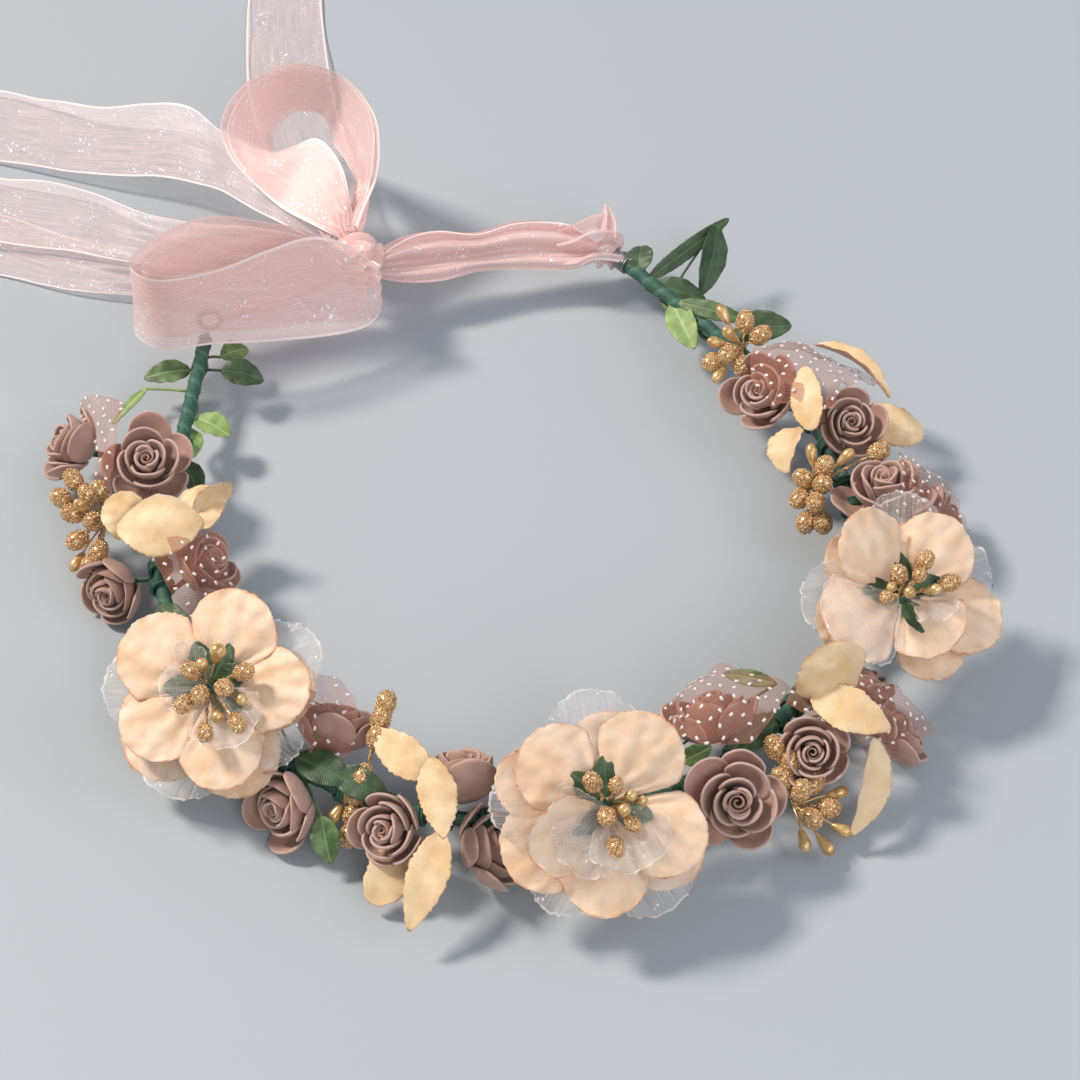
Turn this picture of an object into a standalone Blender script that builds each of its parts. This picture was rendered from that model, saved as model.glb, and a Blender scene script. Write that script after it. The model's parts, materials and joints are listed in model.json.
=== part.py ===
"""Flower crown: a taped wire ring with foam roses, fabric blossoms, gold sprays and an organza bow."""

import math

import bmesh
import bpy
from mathutils import Matrix, Vector

# Driving dimensions, in millimetres. Z is up, the table is at z = 0, the front is -Y.
RING_RADIUS = 92.0
WIRE_RADIUS = 0.8
TAPE_RADIUS = 2.1
COLLAR_WALL = 0.8
COLLAR_WIDTH = 2.6
CLEAR = 0.35
STEM_RADIUS = 0.9
RIBBON_WIDTH = 25.0
RIBBON_THICK = 1.2

# Whatever is sewn to the ring is cut in proportion to it.
FIT = RING_RADIUS / 92.0
WIRE_HEIGHT = 13.0 * FIT
ROSE_RADIUS = 12.0 * FIT
BLOOM_RADIUS = 25.0 * FIT
PETAL_THICK = 1.1
SHEER_THICK = 0.6
POST_RADIUS = 1.2
EYE_RADIUS = 3.2
BEND_RADIUS = 3.4

# The arc of the ring, in degrees from the front; the ends run straight on from it.
ARC_LEFT = -110.0
ARC_RIGHT = 118.0
HINGE_Y = 97.0 * FIT

MM = 0.001
UP = Vector((0.0, 0.0, 1.0))


def clear_scene():
    for obj in list(bpy.data.objects):
        bpy.data.objects.remove(obj, do_unlink=True)


def finish(name, colour, roughness, metallic=0.0, alpha=1.0):
    """One Principled finish, shared by the pieces made of it."""
    found = bpy.data.materials.get(name)
    if found:
        return found
    mat = bpy.data.materials.new(name)
    mat.use_nodes = True
    shader = mat.node_tree.nodes["Principled BSDF"]
    shader.inputs["Base Color"].default_value = (*colour, 1.0)
    shader.inputs["Roughness"].default_value = roughness
    shader.inputs["Metallic"].default_value = metallic
    shader.inputs["Alpha"].default_value = alpha
    mat.diffuse_color = (*colour, alpha)
    return mat


def steel():
    return finish("steel_wire", (0.55, 0.55, 0.56), 0.35, 1.0)


def tape():
    return finish("floral_tape", (0.02, 0.10, 0.06), 0.7)


def foam():
    return finish("rose_foam", (0.36, 0.19, 0.165), 0.75)


def satin():
    return finish("cream_satin", (0.80, 0.60, 0.38), 0.5)


def sheer():
    return finish("white_organza", (0.85, 0.80, 0.74), 0.4, 0.0, 0.5)


def leaf_green():
    return finish("leaf_fabric", (0.08, 0.22, 0.05), 0.5)


def gold():
    return finish("gold_bead", (0.75, 0.48, 0.20), 0.3, 1.0)


def net():
    return finish("dotted_net", (0.45, 0.25, 0.18), 0.7, 0.0, 0.6)


def pink():
    return finish("pink_organza", (0.86, 0.55, 0.52), 0.4, 0.0, 0.6)


def clean(mesh):
    """Seams welded and faces turned outward."""
    bm = bmesh.new()
    bm.from_mesh(mesh)
    bmesh.ops.remove_doubles(bm, verts=bm.verts, dist=1e-6)
    bmesh.ops.recalc_face_normals(bm, faces=bm.faces)
    if bm.calc_volume(signed=True) < 0:
        bmesh.ops.reverse_faces(bm, faces=bm.faces)
    bm.to_mesh(mesh)
    bm.free()


def add(name, data, place=None):
    """A new object in the scene, moved and turned by a matrix whose shift is in millimetres."""
    obj = bpy.data.objects.new(name, data)
    bpy.context.collection.objects.link(obj)
    if place is not None:
        matrix = place.copy()
        matrix.translation = matrix.translation * MM
        obj.matrix_world = matrix
    return obj


def applied(obj):
    """The object as a plain mesh: curves converted and modifiers applied."""
    bpy.context.view_layer.update()
    graph = bpy.context.evaluated_depsgraph_get()
    mesh = bpy.data.meshes.new_from_object(obj.evaluated_get(graph))
    clean(mesh)
    solid = add(obj.name + "_solid", mesh)
    solid.matrix_world = obj.matrix_world
    bpy.data.objects.remove(obj, do_unlink=True)
    return solid


def combine(whole, others, operation):
    """One Boolean after another on the first object; the others are used up."""
    for other in others:
        step = whole.modifiers.new(operation.lower(), "BOOLEAN")
        step.operation = operation
        step.solver = "EXACT"
        step.object = other
        whole = applied(whole)
        bpy.data.objects.remove(other, do_unlink=True)
    return whole


def named(name, obj, mat, origin, parent=None):
    """Gives a finished solid its name, material, origin in millimetres and parent."""
    obj.name = name
    obj.data.name = name
    obj.data.materials.clear()
    obj.data.materials.append(mat)
    bpy.context.view_layer.update()
    shift = Matrix.Translation(-Vector(origin) * MM)
    obj.data.transform(shift @ obj.matrix_world)
    obj.matrix_world = Matrix.Translation(Vector(origin) * MM)
    if parent is not None:
        obj.parent = parent
        obj.matrix_parent_inverse = parent.matrix_world.inverted()
    return obj


def fuse(name, shapes, mat, origin, parent=None):
    """One closed body from overlapping closed shapes."""
    solids = [applied(shape) for shape in shapes]
    whole = combine(solids[0], solids[1:], "UNION")
    return named(name, whole, mat, origin, parent)


def band_at(phi):
    """Centre and direction of the wire, phi degrees round from the front."""
    edge = min(max(phi, ARC_LEFT), ARC_RIGHT)
    turn = math.radians(edge)
    centre = Vector((math.sin(turn), -math.cos(turn), 0.0)) * RING_RADIUS
    along = Vector((math.cos(turn), math.sin(turn), 0.0))
    centre += along * math.radians(phi - edge) * RING_RADIUS
    centre.z = WIRE_HEIGHT
    return centre, along


def phi_at_hinge(edge):
    """The phi at which a straight end of the ring reaches the line through both eyes."""
    turn = math.radians(edge)
    start_y = -math.cos(turn) * RING_RADIUS
    run = (HINGE_Y - start_y) / math.sin(turn)
    return edge + math.degrees(run / RING_RADIUS)


PHI_LEFT = phi_at_hinge(ARC_LEFT)
PHI_RIGHT = phi_at_hinge(ARC_RIGHT)
STEPS = 36


def frame(centre, facing, hint=UP):
    """A matrix at a point in millimetres whose local Z is the facing direction."""
    w = Vector(facing).normalized()
    side = Vector(hint) if abs(w.dot(hint)) < 0.95 else Vector((0.0, 1.0, 0.0))
    u = side.cross(w).normalized()
    turned = Matrix((u, w.cross(u), w)).transposed().to_4x4()
    return Matrix.Translation(Vector(centre)) @ turned


def rod(path, radius, resolution=1, ends=(1.0, 1.0), cyclic=False):
    """A round rod along points in millimetres: a curve with a bevel and filled caps."""
    curve = bpy.data.curves.new("rod", "CURVE")
    curve.dimensions = "3D"
    curve.bevel_depth = radius * MM
    curve.bevel_resolution = resolution
    curve.use_fill_caps = True
    line = curve.splines.new("POLY")
    line.points.add(len(path) - 1)
    line.use_cyclic_u = cyclic
    for i, (point, spot) in enumerate(zip(path, line.points)):
        spot.co = (*(Vector(point) * MM), 1.0)
        share = i / max(len(path) - 1, 1)
        spot.radius = ends[0] * (1 - share) + ends[1] * share
    return add("rod", curve)


def hoop(centre, axis, radius, thick, steps):
    """A closed ring of round stock."""
    place = frame(centre, axis)
    path = []
    for i in range(steps):
        t = 2 * math.pi * i / steps
        path.append(place @ Vector((radius * math.cos(t), radius * math.sin(t), 0.0)))
    return rod(path, thick, cyclic=True)


def turned(place, profile, sides, spin=0.0):
    """A solid spun from rows of (radius, height, lobes, depth), then lobed like petals."""
    bm = bmesh.new()
    line = [bm.verts.new((r * MM, 0.0, h * MM)) for r, h, _, _ in profile]
    edges = [bm.edges.new(pair) for pair in zip(line, line[1:])]
    bmesh.ops.spin(
        bm,
        geom=line + edges,
        cent=(0, 0, 0),
        axis=(0, 0, 1),
        angle=2 * math.pi,
        steps=sides,
        use_merge=True,
    )
    rows = {round(row[1], 6): (n, row) for n, row in enumerate(profile)}
    for vert in bm.verts:
        n, (_, _, lobes, depth) = rows[min(rows, key=lambda h: abs(h - vert.co.z / MM))]
        swell = 1 + depth * math.cos(lobes * (math.atan2(vert.co.y, vert.co.x) + spin) + n)
        vert.co.x *= swell
        vert.co.y *= swell
    bmesh.ops.holes_fill(bm, edges=bm.edges, sides=0)
    mesh = bpy.data.meshes.new("turned")
    bm.to_mesh(mesh)
    bm.free()
    return add("turned", mesh, place)


def collar(phi):
    """The turn of stem that is wound round the taped ring and holds a head to it."""
    centre, along = band_at(phi)
    inner = (TAPE_RADIUS / math.cos(math.pi / 8) + CLEAR) / math.cos(math.pi / 8)
    outer = inner + COLLAR_WALL
    half = COLLAR_WIDTH / 2
    corners = ((inner, -half), (outer, -half), (outer, half), (inner, half))
    mesh = bpy.data.meshes.new("collar")
    mesh.from_pydata([(r * MM, 0.0, h * MM) for r, h in corners], [(0, 1), (1, 2), (2, 3), (3, 0)], [])
    ring = add("collar", mesh, frame(centre, along))
    sweep = ring.modifiers.new("turn", "SCREW")
    sweep.axis = "Z"
    sweep.steps = 8
    sweep.render_steps = 8
    sweep.use_merge_vertices = True
    sweep.merge_threshold = 0.00001
    return ring


def stem(phi, end, radius=STEM_RADIUS):
    """A stem from the collar at phi to a point."""
    centre, along = band_at(phi)
    reach = Vector(end) - centre
    across = (reach - along * reach.dot(along)).normalized()
    start = centre + across * (TAPE_RADIUS + CLEAR + COLLAR_WALL)
    return rod([start, end], radius)


def stand_off(phi, hub):
    """How far a head moves away from the ring for what the tape and the roses have grown."""
    ring, along = band_at(phi)
    away = hub - ring
    away -= along * away.dot(along)
    away.z = max(away.z, 0.0)
    tape_grown = TAPE_RADIUS - 2.1
    roses_grown = ROSE_RADIUS - 12.0 * FIT
    return away.normalized() * (tape_grown + 0.8 * roses_grown) + UP * 0.6 * roses_grown


def sheet(name, rows, thick, place=None, round_trip=False):
    """Cloth: rows of points skinned with quads and thickened evenly to both sides."""
    count = len(rows[0])
    verts = [tuple(Vector(p) * MM) for row in rows for p in row]
    faces = []
    for i in range(len(rows) - 1):
        for j in range(count if round_trip else count - 1):
            k = (j + 1) % count
            faces.append((i * count + j, i * count + k, (i + 1) * count + k, (i + 1) * count + j))
    mesh = bpy.data.meshes.new(name)
    mesh.from_pydata(verts, [], faces)
    cloth = add(name, mesh, place)
    skin = cloth.modifiers.new("thickness", "SOLIDIFY")
    skin.thickness = thick * MM
    skin.offset = 0.0
    return cloth


# Radius and height as shares of the rose's radius, then lobes and their depth.
ROSE_PROFILE = (
    (0.22, -0.46, 1, 0.0),
    (0.66, -0.34, 5, 0.04),
    (1.00, 0.16, 5, 0.07),
    (0.86, 0.24, 5, 0.05),
    (0.70, 0.10, 3, 0.05),
    (0.62, 0.48, 3, 0.07),
    (0.46, 0.45, 3, 0.05),
    (0.34, 0.34, 2, 0.04),
    (0.24, 0.60, 2, 0.06),
)


def rose(name, phi, centre, facing, share, spin=0.0):
    """A foam rose: nested rings of petals on a stem wound round the ring."""
    radius = ROSE_RADIUS * share
    hub = Vector(centre) * FIT
    place = frame(hub + stand_off(phi, hub), facing)
    profile = [(r * radius, h * radius, n, d) for r, h, n, d in ROSE_PROFILE]
    back = place @ Vector((0.0, 0.0, -0.3 * radius))
    shapes = [turned(place, profile, 10, spin), stem(phi, back), collar(phi)]
    return fuse(name, shapes, foam(), place.translation)


def petal_disc(place, height, radius, thick, cup, spin, notch, sides=25):
    """A flower layer cut from cloth: five rounded petals round a centre hole."""
    hole = POST_RADIUS + CLEAR
    rows = []
    for share in (0.0, 0.55, 1.0):
        row = []
        for j in range(sides):
            t = 2 * math.pi * j / sides
            wave = abs(math.cos(2.5 * (t - spin)))
            rim = radius * (1 - notch * (1 - wave) ** 1.6)
            r = hole + (rim - hole) * share
            h = height + cup * (r / radius) ** 2 - 0.06 * radius * (1 - wave) * share
            row.append((r * math.cos(t), r * math.sin(t), h))
        rows.append(row)
    return sheet("petals", rows, thick, place, round_trip=True)


def bead(centre, radius, length, facing):
    """A gold bead, drawn out to a drop."""
    profile = []
    for share, height in ((0.35, -0.9), (1.0, -0.1), (0.75, 0.55), (0.2, 1.0)):
        profile.append((radius * share, length * height / 2, 1, 0.0))
    return turned(frame(centre, facing), profile, 5)


def bloom(side, phi, centre, facing, spin):
    """A large cloth flower: leaves, two petal layers and a sheer layer held on one stamen post."""
    grown = 0.8 * (BLOOM_RADIUS - 25.0 * FIT) + 1.3 * (ROSE_RADIUS - 12.0 * FIT) + TAPE_RADIUS - 2.1
    place = frame(Vector(centre) * FIT + Vector(facing) * grown, facing)
    name = "bloom_" + side
    layers = (
        ("_leaves", -6.0, 0.60 * BLOOM_RADIUS, 0.9, 0.2, 0.0, 0.55, leaf_green()),
        ("_petals_lower", -3.0, BLOOM_RADIUS * 1.02, PETAL_THICK, 0.5, 0.63, 0.34, satin()),
        ("_organza", -1.0, BLOOM_RADIUS * 0.94, SHEER_THICK, 1.8, 0.3, 0.16, sheer()),
        ("_petals_upper", 1.1, BLOOM_RADIUS, PETAL_THICK, 3.0, 0.0, 0.40, satin()),
    )
    for label, height, radius, thick, cup, turn, notch, mat in layers:
        layer = applied(petal_disc(place, height, radius, thick, cup, spin + turn, notch))
        named(name + label, layer, mat, place.translation)
    rows = ((POST_RADIUS, -8.4), (POST_RADIUS, 2.3), (3.4, 2.7), (2.6, 5.0))
    post = [(r, h, 1, 0.0) for r, h in rows]
    back = place @ Vector((0.0, 0.0, -7.8))
    root = place @ Vector((0.0, 0.0, 3.1))
    shapes = [turned(place, post, 10), stem(phi, back, 1.0), collar(phi)]
    for n in range(6):
        t = 2 * math.pi * n / 6 + spin
        spread = 0.9 + 0.35 * (n % 2)
        local = Vector((spread * math.cos(t), spread * math.sin(t), 1.0)).normalized()
        lean = place.to_3x3() @ local
        tip = root + lean * (6.0 + 1.6 * (n % 3)) * FIT
        shapes.append(rod([root, tip], 0.6, 0))
        shapes.append(bead(tip, 1.7 * FIT, 4.6 * FIT, lean))
    fuse(name + "_stamens", shapes, gold(), place.translation)


def blade(root, tip, facing, width, thick, bow):
    """A leaf or a pointed petal, folded along its middle and bowed towards the way it faces."""
    root = Vector(root)
    reach = Vector(tip) - root
    across = Vector(facing).cross(reach).normalized()
    out = reach.cross(across).normalized()
    rows = []
    for share, wide in ((0.0, 0.16), (0.25, 0.75), (0.5, 1.0), (0.75, 0.78), (0.97, 0.12)):
        middle = root + reach * share + out * bow * math.sin(math.pi * share)
        half = max(width / 2 * wide, 0.45)
        edge = middle + out * 0.12 * half
        rows.append((edge - across * half, middle, edge + across * half))
    return sheet("blade", rows, thick)


def leaf_set(name, phi, hub, blades, mat, thick=1.0):
    """Blades that spring from one stem; each row is (tip, facing, width, bow)."""
    hub = Vector(hub) * FIT
    shift = stand_off(phi, hub) * 0.75
    hub = hub + shift
    shapes = [stem(phi, hub), collar(phi)]
    for tip, facing, width, bow in blades:
        end = Vector(tip) * FIT + shift
        back = hub - (end - hub).normalized() * 0.6
        shapes.append(blade(back, end, facing, width * FIT, thick, bow * FIT))
    return fuse(name, shapes, mat, hub)


def spray(name, phi, hub, tips, radius, length):
    """Gold beads on fine stalks that spring from one stem."""
    hub = Vector(hub) * FIT
    shift = stand_off(phi, hub)
    hub = hub + shift
    shapes = [stem(phi, hub), collar(phi)]
    for tip in tips:
        end = Vector(tip) * FIT + shift
        lean = (end - hub).normalized()
        shapes.append(rod([hub - lean * 0.7, end], 0.6, 0))
        shapes.append(bead(end, radius * FIT, length * FIT, lean))
    return fuse(name, shapes, gold(), hub)


def net_fan(name, phi, hub, corners, ruffle):
    """A tuft of dotted net: a ruffled fan on a stem."""
    hub = Vector(hub) * FIT
    left, right = [Vector(c) * FIT - hub for c in corners]
    hub = hub + stand_off(phi, hub) * 2.2
    normal = left.cross(right).normalized()
    steps = 8
    rows = []
    for share in (0.12, 0.55, 1.0):
        row = []
        for i in range(steps + 1):
            t = i / steps
            swell = 1 + 0.35 * math.sin(math.pi * t)
            wave = math.sin(4 * math.pi * t) * ruffle * FIT * share
            row.append(hub + left.lerp(right, t) * share * swell + normal * wave)
        rows.append(row)
    middle = hub + (left + right) * 0.15 + (left + right).normalized() * 4.0 * (FIT - 1)
    shapes = [sheet("net", rows, SHEER_THICK + 0.2), stem(phi, middle), collar(phi)]
    return fuse(name, shapes, net(), hub)


def smooth(rows, steps):
    """Points on a smooth curve through rows of numbers, steps to each span."""
    points = [Vector(row) for row in rows]
    out = []
    for i in range(len(points) - 1):
        before = points[max(i - 1, 0)]
        after = points[min(i + 2, len(points) - 1)]
        a, b = points[i], points[i + 1]
        for j in range(steps):
            t = j / steps
            p = 2 * a + (b - before) * t + (2 * before - 5 * a + 4 * b - after) * t * t
            p += (3 * a - before - 3 * b + after) * t**3
            out.append(p / 2)
    out.append(points[-1])
    return out


def ribbon(rows, steps=2):
    """A ribbon through rows of (centre, width direction, share of the ribbon's width)."""
    centres = smooth([Vector(c) * FIT for c, _, _ in rows], steps)
    ways = smooth([w for _, w, _ in rows], steps)
    shares = smooth([(s, 0.0, 0.0) for _, _, s in rows], steps)
    edges = []
    for c, w, s in zip(centres, ways, shares):
        c.z = max(c.z, RIBBON_THICK / 2)
        half = w.normalized() * RIBBON_WIDTH / 2 * s.x
        edges.append((c - half, c + half))
    return sheet("ribbon", edges, RIBBON_THICK)


def wire_path():
    """Points along the wire, from one eye's centre to the other's."""
    span = PHI_RIGHT - PHI_LEFT
    return [band_at(PHI_LEFT + span * i / STEPS)[0] for i in range(STEPS + 1)]


def wire_core():
    """The bare wire, turned back into an eye at each end."""
    path = wire_path()
    left, right = path[0].copy(), path[-1].copy()
    path[0] = left + (path[1] - left).normalized() * EYE_RADIUS
    path[-1] = right + (path[-2] - right).normalized() * EYE_RADIUS
    shapes = [rod(path, WIRE_RADIUS)]
    for eye in (left, right):
        shapes.append(hoop(eye, UP, EYE_RADIUS, WIRE_RADIUS, 12))
    return fuse("wire_core", shapes, steel(), (0.0, 0.0, WIRE_HEIGHT))


def tape_wrap():
    """The floral tape, a sleeve over the wire that stops short of both eyes."""
    path = wire_path()
    inner = (WIRE_RADIUS + CLEAR) / math.cos(math.pi / 6)
    sleeve = applied(rod(path[1:-1], TAPE_RADIUS))
    bore = applied(rod(path, inner))
    sleeve = combine(sleeve, [bore], "DIFFERENCE")
    return named("tape_wrap", sleeve, tape(), (0.0, 0.0, WIRE_HEIGHT))


# Rows of (name, phi of the collar, centre, facing, size share, spin).
ROSES = (
    ("rose_a1", -118.0, (-89, 41, 21), (-0.2, -0.35, 0.9), 1.0, 0.2),
    ("rose_a2", -121.0, (-107, 56, 16), (-0.8, 0.3, 0.5), 0.8, 0.5),
    ("rose_a3", -97.0, (-104, 11, 7.6), (-0.6, -0.5, 0.55), 0.8, 0.9),
    ("rose_a4", -93.0, (-81, 6, 14), (0.7, -0.1, 0.6), 0.75, 0.1),
    ("rose_b1", -47.0, (-73.5, -69, 8), (-0.35, -0.7, 0.5), 0.82, 0.4),
    ("rose_b2", -50.0, (-57, -52, 14), (0.45, 0.5, 0.6), 0.78, 0.8),
    ("rose_c1", -32.0, (-51, -87, 18), (-0.4, -0.4, 0.8), 0.78, 0.3),
    ("rose_c2", -23.0, (-31, -73, 16), (0.3, 0.5, 0.8), 0.85, 0.0),
    ("rose_c3", -17.0, (-32, -95, 7.4), (0.2, -0.8, 0.45), 0.78, 0.6),
    ("rose_d1", 19.0, (35, -101, 19), (-0.1, -0.6, 0.8), 1.02, 0.2),
    ("rose_d2", 24.0, (35, -74, 17), (0.0, 0.5, 0.8), 0.88, 0.7),
    ("rose_e1", 34.0, (56, -90, 17), (-0.3, -0.5, 0.8), 0.78, 0.5),
    ("rose_e2", 44.5, (75, -70, 13), (0.4, 0.0, 0.8), 0.68, 0.3),
    ("rose_e3", 41.0, (81, -85, 7.2), (0.6, -0.6, 0.5), 0.7, 0.9),
    ("rose_f1", 82.0, (99, -15, 21), (-0.2, -0.4, 0.9), 0.92, 0.1),
    ("rose_f2", 77.0, (114, -19, 7.8), (0.85, -0.1, 0.4), 0.72, 0.4),
    ("rose_g1", 108.0, (78, 27, 19), (-0.5, -0.3, 0.8), 0.83, 0.6),
    ("rose_g2", 96.0, (97, 10, 20), (0.1, -0.5, 0.85), 0.73, 0.2),
)

# Rows of (side, phi of the collar, centre, facing, spin).
BLOOMS = (
    ("left", -66.0, (-86, -42, 27), (-0.25, -0.35, 0.87), 0.3),
    ("front", 0.0, (0, -100, 27), (0.0, -0.5, 0.87), 0.5),
    ("right", 58.0, (89, -56, 27), (0.6, -0.35, 0.75), 0.1),
)

# Rows of (name, phi, hub, blades), and each blade is (tip, facing, width, bow).
CREAM_LEAVES = (
    (
        "blossom_a",
        -104.0,
        (-88, 21, 17),
        (
            ((-98, 22, 26), (-0.2, -0.3, 0.9), 13, 2.0),
            ((-84, 12, 28), (0.2, -0.3, 0.9), 14, 2.0),
            ((-76, 22, 24), (0.3, 0.1, 0.9), 10, 2.0),
        ),
    ),
    (
        "leaves_c",
        -27.0,
        (-39, -84, 19),
        (
            ((-44, -68, 29), (0.0, -0.3, 0.9), 10, 1.5),
            ((-38, -95, 29), (0.0, -0.3, 0.9), 8, 1.0),
            ((-42, -108, 12), (-0.2, -0.5, 0.8), 8, 1.5),
        ),
    ),
    (
        "leaves_e",
        38.0,
        (67, -79, 19),
        (
            ((58, -68, 31), (0.0, -0.5, 0.8), 15, 2.0),
            ((62, -95, 29), (0.0, -0.3, 0.9), 9, 1.0),
            ((70, -104, 10), (0.0, -0.6, 0.7), 8, 1.5),
        ),
    ),
    (
        "leaves_g",
        102.0,
        (90, 22, 20),
        (
            ((85, 12, 31), (-0.2, -0.3, 0.9), 8, 1.0),
            ((107, 25, 24), (0.0, -0.3, 0.9), 9, 1.5),
            ((112, 16, 12), (0.2, -0.3, 0.8), 8, 1.5),
        ),
    ),
)

# Rows of (name, phi, hub, bead centres, bead radius, bead length).
SPRAYS = (
    (
        "spray_a",
        -107.0,
        (-103, 30, 13),
        ((-111, 36, 17), (-112, 30, 20), (-113, 24, 15), (-110, 32, 11), (-107, 22, 9)),
        2.2,
        4.8,
    ),
    (
        "spray_b",
        -40.0,
        (-52, -67, 17),
        ((-55, -68, 22), (-50, -64, 23), (-47, -61, 26), (-51, -70, 26)),
        1.8,
        4.0,
    ),
    (
        "spray_d",
        30.5,
        (49, -99, 8),
        ((50, -106, 13), (47, -110, 9), (53, -108, 7), (51, -101, 16)),
        2.0,
        4.4,
    ),
    (
        "spray_f",
        87.0,
        (83, -5, 15),
        ((80, -10, 19), (83, -4, 21), (77, -4, 17), (79, 2, 20), (77, -11, 13)),
        2.0,
        4.4,
    ),
    (
        "spray_g",
        123.0,
        (77, 44, 20),
        ((72, 47, 24), (76, 50, 27), (80, 47, 26), (70, 43, 21), (81, 42, 25)),
        2.0,
        5.6,
    ),
)

# Rows of (name, phi, hub, the two corners of the fan, ruffle).
NETS = (
    ("net_a", -124.0, (-92, 59, 13), ((-99, 66, 26), (-89, 70, 22)), 1.0),
    ("net_b", -58.0, (-72, -40, 14), ((-68, -30, 21), (-60, -38, 19)), 0.5),
    ("net_d", 14.0, (21, -80, 14), ((13, -70, 24), (24, -64, 24)), 1.0),
    ("net_f", 72.0, (97, -33, 11), ((113, -40, 9), (117, -31, 14)), 0.6),
)

# Rows of (name, phi of each collar, blades). The vine runs under the taped ring.
VINES = (
    (
        "vine_left",
        (-150.0, -133.0),
        (
            (-153.0, (-84, 80, 11), (0.0, -0.2, 1.0), 7, 0.6),
            (-146.0, (-92, 68, 8), (0.0, -0.2, 1.0), 6, 0.6),
            (-139.0, (-62, 60, 13), (0.0, -0.2, 1.0), 7, 0.6),
            (-132.0, (-68, 44, 12), (0.0, -0.2, 1.0), 7, 0.6),
        ),
    ),
    (
        "vine_right",
        (145.0, 129.0),
        (
            (147.0, (53, 75, 8), (0.0, -0.2, 1.0), 7, 0.4),
            (142.0, (80, 92, 13), (0.0, -0.2, 1.0), 7, 1.0),
            (136.0, (84, 78, 13), (0.0, -0.2, 1.0), 7, 0.6),
            (133.0, (60, 57, 13), (0.0, -0.2, 1.0), 8, 0.6),
        ),
    ),
)


def vine(name, phis, blades):
    """A vine with leaves that runs under one end of the taped ring."""
    path = []
    for i in range(6):
        p = band_at(phis[0] + (phis[1] - phis[0]) * i / 5)[0]
        path.append(p - UP * (TAPE_RADIUS + CLEAR + COLLAR_WALL + 0.9))
    shapes = [rod(path, 0.9), collar(phis[0]), collar(phis[1])]
    for phi, tip, facing, width, bow in blades:
        spot = 5 * min(max((phi - phis[0]) / (phis[1] - phis[0]), 0.02), 0.98)
        i = min(int(spot), 4)
        root = path[i].lerp(path[i + 1], spot - i)
        shapes.append(blade(root, Vector(tip) * FIT, facing, width * FIT, 0.9, bow * FIT))
    return fuse(name, shapes, leaf_green(), path[0])


LEFT_LOOP_WAY = (0.0, 0.34, 0.94)
LEFT_LOOP_BACK = (0.0, 0.1, 0.99)
LEFT_LOOP = (
    ((-26, 98, 34.5), LEFT_LOOP_WAY, 0.8),
    ((-40, 90, 33), LEFT_LOOP_WAY, 0.98),
    ((-60, 85, 32.5), LEFT_LOOP_WAY, 1.0),
    ((-76, 87, 32.5), LEFT_LOOP_WAY, 1.0),
    ((-81, 95, 32.5), LEFT_LOOP_BACK, 1.0),
    ((-75, 103, 32.5), LEFT_LOOP_BACK, 1.0),
    ((-60, 106, 33), LEFT_LOOP_BACK, 1.0),
    ((-40, 107, 34), LEFT_LOOP_BACK, 0.95),
    ((-29, 104, 35.5), LEFT_LOOP_BACK, 0.75),
)
BACK_LOOP_WAY = (0.05, -0.62, 0.78)
BACK_LOOP = (
    ((-26, 114, 24), BACK_LOOP_WAY, 0.5),
    ((-40, 128, 25), BACK_LOOP_WAY, 0.85),
    ((-47, 146, 28), BACK_LOOP_WAY, 0.95),
    ((-40, 161, 33), BACK_LOOP_WAY, 1.0),
    ((-25, 166, 37), BACK_LOOP_WAY, 1.0),
    ((-9, 157, 38), BACK_LOOP_WAY, 1.0),
    ((-3, 139, 34), BACK_LOOP_WAY, 0.95),
    ((-9, 122, 28), BACK_LOOP_WAY, 0.8),
    ((-17, 115, 26), BACK_LOOP_WAY, 0.5),
)
KNOT_CENTRE = (-19, 103, 20)
KNOT_PROFILE = ((2.5, -8, 1, 0.0), (6.0, -5, 3, 0.1), (5.0, 0, 3, 0.1), (6.0, 5, 3, 0.1), (2.5, 8, 1, 0.0))


def strand(name, eye, side, rows, hinge):
    """A ribbon from one eye to the knot, bent through the eye in a loop of its own."""
    bend = hoop(eye + Vector((side * BEND_RADIUS, 0, 0)), (0, 1, 0), BEND_RADIUS, 0.9, 14)
    start = eye + Vector((side * (EYE_RADIUS + 1.5), 0, 0))
    path = [(start / FIT, (0, 1, 0.2), 0.16), *rows]
    return fuse(name, [ribbon(path), bend], pink(), eye, hinge)


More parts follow.
